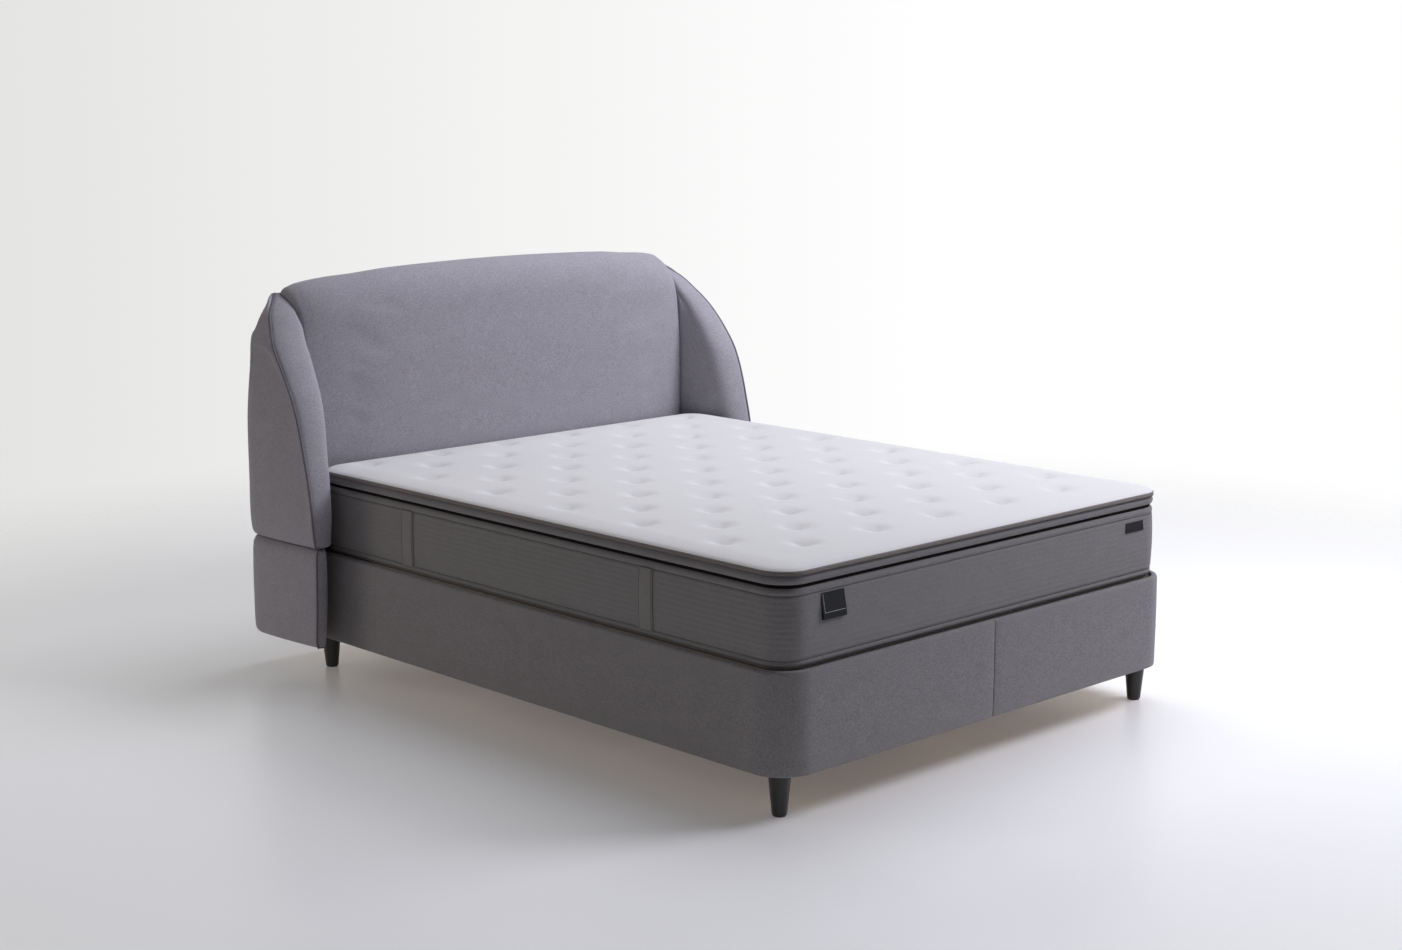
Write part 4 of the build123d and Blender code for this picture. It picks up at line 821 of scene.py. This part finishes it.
# Border of the mattress: a warm grey ribbed knit backed with foam, sewn between two tapes. Its
# hems show as a flat band above the upper line of stitches and below the lower one.
def knitted(name, dark, light, surface, rib, rib_depth, grain, grain_bump):
    """A knit with level ribs and a fine mesh of loops."""
    material, tree, place, shader, relief = woven(name, dark, light, surface, grain, grain_bump)
    ribs = add(tree, "ShaderNodeTexWave", {"wave_type": "BANDS", "bands_direction": "Z",
                                           "Scale": 0.314 / rib, "Distortion": 1.4,
                                           "Detail": 2.0, "Detail Scale": 0.6},
               {"Vector": (place, "Object")})
    furrow = add(tree, "ShaderNodeBump", {"Strength": 0.6, "Distance": rib_depth},
                 {"Height": (ribs, "Fac"), "Normal": (relief, "Normal")})
    feed(shader, {"Normal": (furrow, "Normal")})
    return material


KNIT = {"Roughness": 0.85, "Specular IOR Level": 0.3, "Sheen Weight": 0.15, "Sheen Roughness": 0.5,
        "Sheen Tint": linear("#c8c5c8")}
border_knit = knitted("ribbed_polyester_knit_grey", "#6a6767", "#8f8c8c", KNIT, 0.015, 0.0010,
                      0.0026, 0.0005)
mattress_half = 0.797
mattress_foot = -1.090
mattress_head = 0.904
mattress_corner = 0.085
hem_low = 0.405
hem_high = 0.569


def mattress_path(inset, corner_points=16, pitch=0.014):
    """The closed plan outline of the mattress, drawn in by an inset."""
    radius = mattress_corner - inset
    half_length = (mattress_head - mattress_foot) / 2
    middle = (mattress_head + mattress_foot) / 2
    corners = []
    for quarter, (sx, sy) in enumerate(((1, 1), (-1, 1), (-1, -1), (1, -1))):
        turn = np.radians(np.linspace(0, 90, corner_points) + 90 * quarter)
        cx = sx * (mattress_half - mattress_corner)
        cy = middle + sy * (half_length - mattress_corner)
        corners.append(np.stack([cx + radius * np.cos(turn), cy + radius * np.sin(turn)], 1))
    closed = []
    for quarter, half in enumerate((mattress_half, half_length) * 2):
        start = corners[quarter][-1]
        end = corners[(quarter + 1) % 4][0]
        steps = int(round((half - mattress_corner) * 2 / pitch))
        closed.append(corners[quarter])
        closed.append(start + (end - start) * np.linspace(0, 1, steps + 1)[1:-1, None])
    return np.concatenate(closed)


def mattress_bands(name, profiles, material):
    """Closed bands round the mattress from their sections, given as inset and height."""
    groups = [np.array([at_height(mattress_path(inset), height) for inset, height in profile])
              for profile in profiles]
    return joined(name, [rings.transpose(1, 0, 2) for rings in groups], material, "platform",
                  looped=True, turn_sharp=60)


border_profile = [(0.0160, 0.3785), (0.0125, 0.3790), (0.0115, 0.3850), (0.0080, 0.3885),
                  (0.0038, 0.3905), (0.0020, 0.3935), (0.0017, 0.3980), (0.0024, 0.4030),
                  (0.0042, hem_low), (0.0026, 0.4068), (0.0016, 0.4110)]
border_profile += [(0.0012 - 0.0026 * math.sin(math.pi * t), 0.414 + (0.560 - 0.414) * t)
                   for t in np.linspace(0, 1, 34)]
border_profile += [(0.0016, 0.5630), (0.0026, 0.5670), (0.0042, hem_high), (0.0024, 0.5710),
                   (0.0018, 0.5760), (0.0024, 0.5820), (0.0044, 0.5856), (0.0088, 0.5872),
                   (0.0097, 0.5876), (0.0098, 0.4900)]
border = mattress_bands("mattress_border_knit", [border_profile], border_knit)
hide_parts("mattress_border")
thread_dark = woven("bonded_nylon_thread_dark", "#1d1b1c", "#2f2c2d", {"Roughness": 0.6},
                    0.0012, 0.0002)[0]


def lapped(inset, height):
    """A closed path round the mattress for a line of stitches."""
    ring = mattress_path(inset)
    return at_height(np.concatenate([ring, ring[:1]]), height)


hem_inset = 0.0034
hem_thread = (0.0062, 0.0050, 0.0021)
hem_lines = [lapped(hem_inset, hem_low), lapped(hem_inset, hem_high)]
hem_stitches = stitched("mattress_border_stitches", hem_lines, hem_thread, thread_dark, "platform")


# Bottom cover of the mattress: a black non-woven sheet over the foam, tucked in under the border.
bottom_profile = [(0.30, 0.3721), (0.10, 0.3721), (0.0100, 0.3720), (0.0050, 0.3723),
                  (0.0028, 0.3735), (0.0022, 0.3750), (0.0028, 0.3768), (0.0050, 0.3778),
                  (0.0100, 0.3779)]
flat_from = 0.02
middle = np.array([(0.0, (mattress_foot + mattress_head) / 2)])
rings = []
for inset, height in bottom_profile:
    plan = mattress_path(min(inset, flat_from))
    if inset > flat_from:
        plan = middle + (plan - middle) * (1 - inset)
    rings.append(at_height(plan, height))
bottom = joined("mattress_bottom_sheet", [rings], back_cloth, "platform")
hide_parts("mattress_bottom_cover")


# Gusset of the pillow top: a smooth knit rolled over foam, drawn in below to the border by a deep
# seam that stays dark.
gusset_knit = knitted("smooth_polyester_knit_grey", "#6b686a", "#8d898b", KNIT, 0.05, 0.0002,
                      0.0026, 0.0004)
gusset_profile = [(0.0110, 0.6040), (0.0097, 0.5980), (0.0092, 0.5970), (0.0078, 0.5967)]
gusset_profile += [(0.0050 - 0.0044 * math.sin(math.pi * (0.06 + 0.94 * t)), 0.5974 + 0.0213 * t)
                   for t in np.linspace(0, 1, 12)]
gusset_profile += [(0.0070, 0.6192), (0.0130, 0.6191), (0.0136, 0.6060)]
gusset = mattress_bands("mattress_gusset_knit", [gusset_profile], gusset_knit)
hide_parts("mattress_gusset")
# Painted shade in the groove: a black, matte band laid into the deep seam under the gusset, standing
# in for its shade so that the groove reads as a line.
groove_shade_painted = woven("painted_groove_shade_black", "#0a0909", "#171516",
                     {"Roughness": 0.95, "Specular IOR Level": 0.1}, 0.0020, 0.0003)[0]
groove_shade_profile = [(0.0099, 0.5872), (0.0090, 0.5880), (0.0086, 0.5922), (0.0090, 0.5964),
                   (0.0099, 0.5972), (0.0112, 0.5922)]
groove_shade_band = mattress_bands("mattress_groove_painted_shade", [groove_shade_profile], groove_shade_painted)


# Tapes of the mattress: a woven edge tape folded over the raw edges, one below the border and
# one between the gusset and the pillow top, each held by a line of stitches.
tape_weave, tree, place, shader, relief = woven(
    "woven_polyester_edge_tape", "#5e5653", "#8a807d", {"Roughness": 0.88, "Sheen Weight": 0.1},
    0.0028, 0.0006)
cross = add(tree, "ShaderNodeTexWave", {"wave_type": "BANDS", "bands_direction": "DIAGONAL",
                                        "Scale": 62.0, "Distortion": 0.4},
            {"Vector": (place, "Object")})
twill = add(tree, "ShaderNodeBump", {"Strength": 0.5, "Distance": 0.0006},
            {"Height": (cross, "Fac"), "Normal": (relief, "Normal")})
feed(shader, {"Normal": (twill, "Normal")})
lower_tape = [(0.0119, 0.3791), (0.0098, 0.3793), (0.0090, 0.3802), (0.0087, 0.3824),
              (0.0090, 0.3846), (0.0098, 0.3858), (0.0119, 0.3862), (0.0130, 0.3826)]
upper_tape = [(0.0140, 0.6193), (0.0040, 0.6192), (0.0008, 0.6198), (-0.0006, 0.6218),
              (-0.0010, 0.6250), (-0.0007, 0.6285), (0.0006, 0.6312), (0.0034, 0.6326),
              (0.0060, 0.6328), (0.0100, 0.6320), (0.0140, 0.6300)]
tapes = mattress_bands("mattress_edge_tapes", [lower_tape, upper_tape], tape_weave)
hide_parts("mattress_tapes")
tape_thread = (0.0052, 0.0038, 0.0016)
tape_lines = [lapped(0.0090, 0.3850), lapped(-0.0006, 0.6212)]
tape_stitches = stitched("mattress_tape_stitches", tape_lines, tape_thread, thread_dark, "platform")


# Pillow top: a white plush knit over fibre and foam, tufted with thread in staggered rows. Each
# tuft pulls a puckered pit, and the cover swells between the tufts and rolls down to the tape.
pillow_knit = woven("plush_viscose_knit_white", "#d2d1d0", "#e2e1df",
                    {"Roughness": 0.9, "Specular IOR Level": 0.2, "Sheen Weight": 0.1,
                     "Sheen Roughness": 0.5, "Sheen Tint": linear("#ffffff")}, 0.0030, 0.0003)[0]
pillow_base = 0.630
tuft_pitch = 0.133
tuft_row_pitch = 0.312
tuft_first_row = 0.184
tuft_rows = 6
pit_depth = 0.0042
pit_reach = 0.013
fold_depth = 0.0026
fold_from = 0.024
fold_reach = 0.018
bowl_depth = 0.0112
bowl_reach = 0.036
pillow_pitch = 0.0066
crown_rows = ((0.0, 0.0), (0.004, 0.0036), (0.015, 0.0086), (0.045, 0.0138), (0.075, 0.0160),
              (0.90, 0.0160))
tuft_spots = [(column * tuft_pitch,
               mattress_foot + tuft_first_row + (column % 2 / 2 + row) * tuft_row_pitch)
              for column in range(-5, 6) for row in range(tuft_rows)]
crown_table = np.array([[d, between(crown_rows, d)[0]] for d in np.linspace(0, 0.12, 61)])


def edge_distance(x, y):
    """How far a point of the mattress lies inside its plan outline."""
    length = (mattress_head - mattress_foot) / 2
    middle = (mattress_head + mattress_foot) / 2
    qx = np.abs(x) - (mattress_half - mattress_corner)
    qy = np.abs(y - middle) - (length - mattress_corner)
    out = np.hypot(np.maximum(qx, 0), np.maximum(qy, 0))
    return mattress_corner - out - np.minimum(np.maximum(qx, qy), 0)


def pillow_height(x, y):
    """The height of the pillow top's cover, with its crown and its puckered tufts."""
    crown = np.interp(edge_distance(x, y), crown_table[:, 0], crown_table[:, 1])
    sink = np.zeros_like(x)
    for tuft, (tx, ty) in enumerate(tuft_spots):
        dx = x - tx
        dy = y - ty
        near = np.hypot(dx, dy)
        bearing = np.arctan2(dy, dx)
        lean = 0.9 * math.sin(tuft * 2.399)
        pucker = 0.5 + 0.5 * np.cos(3 * bearing + lean)
        pit = pit_depth * np.exp(-(near / pit_reach) ** 2)
        fold = fold_depth * pucker ** 2 * np.exp(-((near - fold_from) / fold_reach) ** 2)
        wide = bowl_depth * np.exp(-(near / bowl_reach) ** 2)
        sink += pit + fold + wide
    return pillow_base + crown - sink * np.clip(crown / 0.012, 0, 1)


def grid_line(half, pitch):
    """Places from one edge to the other, closer together near both edges."""
    edge = np.array([0, 0.001, 0.0025, 0.0045, 0.007, 0.010, 0.0135, 0.018])
    inner = np.linspace(0.023, 2 * half - 0.023, int(round((2 * half - 0.046) / pitch)) + 1)
    return np.concatenate([edge, inner, 2 * half - edge[::-1]]) - half


pitch = pillow_pitch
length = (mattress_head - mattress_foot) / 2
middle_y = (mattress_head + mattress_foot) / 2
gx, gy = np.meshgrid(grid_line(mattress_half, pitch), grid_line(length, pitch), indexing="ij")
cx = mattress_half - mattress_corner
cy = length - mattress_corner
u = np.clip((np.abs(gx) - cx) / mattress_corner, 0, 1)
v = np.clip((np.abs(gy) - cy) / mattress_corner, 0, 1)
px = np.where(u > 0, np.sign(gx) * (cx + mattress_corner * u * np.sqrt(1 - v * v / 2)), gx)
py = np.where(v > 0, np.sign(gy) * (cy + mattress_corner * v * np.sqrt(1 - u * u / 2)), gy)
py = py + middle_y
pz = pillow_height(px, py)
rows, columns = px.shape
points = np.stack([px, py, pz], -1).reshape(-1, 3)
faces = [(i * columns + j, (i + 1) * columns + j, (i + 1) * columns + j + 1, i * columns + j + 1)
         for i in range(rows - 1) for j in range(columns - 1)]
rim = [i * columns for i in range(rows)]
rim += [(rows - 1) * columns + j for j in range(1, columns)]
rim += [i * columns + columns - 1 for i in range(rows - 2, -1, -1)]
rim += list(range(columns - 2, 0, -1))
faces.append(tuple(reversed(rim)))
pillow = mesh_piece("mattress_pillow_top_cover", points, faces, pillow_knit, "platform", 60)
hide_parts("mattress_pillow_top")


# Tufts: a few turns of white thread knotted in each pit, crossed over each other.
tuft_thread = woven("twisted_polyester_thread_white", "#c9c7cb", "#e6e4e8", {"Roughness": 0.7},
                    0.0015, 0.0003)[0]
knot_reach = 0.0050
knot_proud = 0.0006
knot_crown = 0.0008
knot_thread = (0.0040, 0.0062, 0.0018)
knots = []
for index, (tx, ty) in enumerate(tuft_spots):
    depth = pillow_height(np.array([tx]), np.array([ty]))[0] + knot_proud
    for turn in (0.6 + index, 2.2 + index):
        dx = knot_reach * math.cos(turn)
        dy = knot_reach * math.sin(turn)
        knots.append([(tx - dx, ty - dy, depth), (tx, ty, depth + knot_crown),
                      (tx + dx, ty + dy, depth)])
tufts = stitched("mattress_tuft_threads", knots, knot_thread, tuft_thread, "platform")
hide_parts("mattress_tufts")


# Handles: a doubled band of the border's knit on each side, turned in at both edges, top stitched,
# and sewn down into the hems. It stands off a little in the middle, for a hand.
handle_knit = woven("doubled_knit_band_grey", "#6e6b6b", "#94908f", KNIT, 0.0024, 0.0005)[0]
handle_half = 0.0275
handle_spots = (-0.594, 0.437)
band_thickness = 0.0016
band_off = 0.0042
seam_inset = 0.0055
band_thread = (0.0066, 0.0050, 0.0024)


def handle_form(height):
    """Where a handle's outer face stands from the middle, and half its width, at a height."""
    bow = math.sin(math.pi * (height - hem_low) / (hem_high - hem_low))
    return mattress_half + 0.0004 + band_off * max(bow, 0) ** 0.7, handle_half + 0.00132 * bow


handle_groups = []
handle_lines = []
for side, sign in SIDES:
    for spot in handle_spots:
        rings = []
        for height in np.linspace(hem_low, hem_high, 30):
            outer, half = handle_form(height)
            inner = outer - band_thickness
            section = [(outer - 0.0009, -half), (outer, 0.0012 - half),
                       (outer + 0.0002, 0.006 - half), (outer + 0.0009, -half * 0.4),
                       (outer + 0.0010, 0), (outer + 0.0009, half * 0.4),
                       (outer + 0.0002, half - 0.006), (outer, half - 0.0012),
                       (outer - 0.0009, half), (inner, half - 0.001), (inner + 0.0002, 0),
                       (inner, 0.001 - half)]
            rings.append([(sign * x, spot + y, height) for x, y in section])
        handle_groups.append(rings)
        for edge in (-1, 1):
            line = []
            for height in np.linspace(hem_low + 0.004, hem_high - 0.004, 40):
                outer, half = handle_form(height)
                line.append((sign * (outer + 0.0002), spot + edge * (half - seam_inset), height))
            handle_lines.append(line)
handles = joined("mattress_handle_bands", handle_groups, handle_knit, "platform", turn_sharp=60)
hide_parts("mattress_handles")
handle_stitches = stitched("mattress_handle_stitches", handle_lines, band_thread, thread_dark,
                           "platform")


# Labels: a folded black satin label with a silver line woven along two edges, sewn in under the
# hem, and a small folded tab. Both are bare.
label_satin = woven("woven_satin_label_black", "#0b0c0f", "#15161b",
                    {"Roughness": 0.7, "Specular IOR Level": 0.2}, 0.0020, 0.0002)[0]
silver_line = woven("woven_silver_line", "#8d9096", "#b4b7bd",
                    {"Roughness": 0.45, "Metallic": 0.3}, 0.0020, 0.0001)[0]
face_y = mattress_foot + 0.0006


def folded(span, heights, stand, tilt=0.0):
    """A folded label: a thin closed slab that stands off at its bottom."""
    rings = []
    for t in np.linspace(0, 1, 10):
        z = heights[1] + (heights[0] - heights[1]) * t
        out = face_y - stand * math.sin(math.pi * 0.5 * t) ** 1.5
        x0, x1 = (x + tilt * t for x in span)
        rings.append([(x0, out, z), (x1, out, z), (x1, face_y + 0.0002, z),
                      (x0, face_y + 0.0002, z)])
    return rings


patch_heights = (0.497, 0.565)
patch_stand = 0.0085
patch_tilt = 0.003
patch = folded((-0.6635, -0.5785), patch_heights, patch_stand, patch_tilt)
tab = folded((0.6075, 0.6925), (0.528, 0.557), 0.003)
labels = joined("mattress_label_pieces", [patch, tab], label_satin, "platform", turn_sharp=30)
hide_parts("mattress_labels")
line_groups = []
for x0, x1, z0, z1 in ((-0.6575, -0.6565, 0.515, 0.5625), (-0.6575, -0.5825, 0.514, 0.515)):
    rows = []
    for z in (z1, z0):
        t = (patch_heights[1] - z) / (patch_heights[1] - patch_heights[0])
        out = face_y - patch_stand * math.sin(math.pi * 0.5 * t) ** 1.5 - 0.0004
        shift = patch_tilt * t
        rows.append([(x0 + shift, out, z), (x1 + shift, out, z),
                     (x1 + shift, out + 0.0003, z), (x0 + shift, out + 0.0003, z)])
    line_groups.append(rows)
silver = joined("mattress_label_line", line_groups, silver_line, "platform", turn_sharp=30)


# Studio: a pale sweep of floor that fades into a backdrop painted pale grey at the left and white at
# the right, a soft lamp high at the right, a broad one overhead and a weaker, warmer one low behind
# the head.
camera_place = Vector((-4.56037, -4.72858, 1.84544))
camera_right = Vector((0.7220, -0.6919, 0.0))
camera_up = Vector((0.1257, 0.1312, 0.9834))
camera_ahead = Vector((0.6804, 0.7100, -0.1817))
lens = bpy.data.cameras.new("camera")
lens.sensor_width = 36.0
lens.lens = 56.9
camera = bpy.data.objects.new("camera", lens)
turn = Matrix((camera_right, camera_up, -camera_ahead)).transposed().to_4x4()
camera.matrix_world = Matrix.Translation(camera_place) @ turn
scene.collection.objects.link(camera)
scene.camera = camera
scene.view_settings.view_transform = "Standard"

# The floor glows faintly (emission 0.10), a painted light that lifts its shadows, the shade under the
# bed too.
floor_finish, tree, place, shader = finish(
    "painted_studio_floor", {"Base Color": linear("#f0f0f0"), "Roughness": 0.32,
                             "Specular IOR Level": 0.35, "Emission Color": linear("#ffffff"),
                             "Emission Strength": 0.10})
glossed(tree, place, shader, 3.0, 0.28, 0.4)
reach = add(tree, "ShaderNodeVectorMath", {"operation": "LENGTH"}, {0: (place, "Object")})
fade = add(tree, "ShaderNodeMapRange", {"interpolation_type": "SMOOTHSTEP", "From Min": 1.9,
                                        "From Max": 4.4, "To Min": 0.0, "To Max": 1.0},
           {"Value": (reach, "Value")})
clear = add(tree, "ShaderNodeBsdfTransparent")
mixed = add(tree, "ShaderNodeMixShader", {}, {0: (fade, "Result"), 1: (shader, "BSDF"),
                                              2: (clear, "BSDF")})
output = next(n for n in tree.nodes if n.type == "OUTPUT_MATERIAL")
feed(output, {"Surface": (mixed, "Shader")})
floor_half = 7.0
floor_level = -0.0002
floor_corners = [(x * floor_half, y * floor_half, floor_level)
                 for x, y in ((-1, -1), (1, -1), (1, 1), (-1, 1))]
floor = mesh_piece("studio_floor", floor_corners, [(0, 1, 2, 3)], floor_finish, None)

for name, spot, aim, size, power, tone in (
    ("lamp_key", (2.7, -2.4, 3.2), (0.0, 0.2, 0.5), 2.0, 126.0, "#f1f2ff"),
    ("lamp_overhead", (1.3, 0.4, 4.3), (0.0, -0.2, 0.3), 3.4, 108.0, "#f4f5ff"),
    ("lamp_rear", (-4.0, 3.4, 2.0), (-0.4, 0.0, 0.4), 2.4, 33.0, "#fff2e6"),
):
    glow = bpy.data.lights.new(name, "AREA")
    glow.shape = "DISK"
    glow.size = size
    glow.energy = power
    glow.color = linear(tone)[:3]
    lamp = bpy.data.objects.new(name, glow)
    lamp.location = spot
    lamp.rotation_euler = (Vector(aim) - Vector(spot)).to_track_quat("-Z", "Y").to_euler()
    scene.collection.objects.link(lamp)

world = bpy.data.worlds.new("studio")
scene.world = world
world.use_nodes = True
tree = world.node_tree
tree.nodes.clear()
place = add(tree, "ShaderNodeTexCoord")
# The backdrop that the camera and reflections see is painted from pale grey at the left to white at
# the right, a painted fall-off of the light.
sideways = add(tree, "ShaderNodeVectorMath", {"operation": "DOT_PRODUCT", 1: camera_right},
               {0: (place, "Generated")})
spread_out = add(tree, "ShaderNodeMapRange", {"From Min": -0.32, "From Max": 0.1},
                 {"Value": (sideways, "Value")})
backdrop_painted_falloff = ramped(tree, (spread_out, "Result"), "#e3e3e1", "#ffffff")
seen = add(tree, "ShaderNodeBackground", {"Strength": 1.0}, {"Color": (backdrop_painted_falloff, "Color")})
lighting = add(tree, "ShaderNodeBackground", {"Color": linear("#f6f7ff"), "Strength": 0.10})
rays = add(tree, "ShaderNodeLightPath")
either = add(tree, "ShaderNodeMath", {"operation": "MAXIMUM"},
             {0: (rays, "Is Camera Ray"), 1: (rays, "Is Glossy Ray")})
seen_by = add(tree, "ShaderNodeMath", {"operation": "MAXIMUM"},
              {0: (either, "Value"), 1: (rays, "Is Transmission Ray")})
chosen = add(tree, "ShaderNodeMixShader", {}, {0: (seen_by, "Value"), 1: (lighting, "Background"),
                                               2: (seen, "Background")})
add(tree, "ShaderNodeOutputWorld", {}, {"Surface": (chosen, "Shader")})
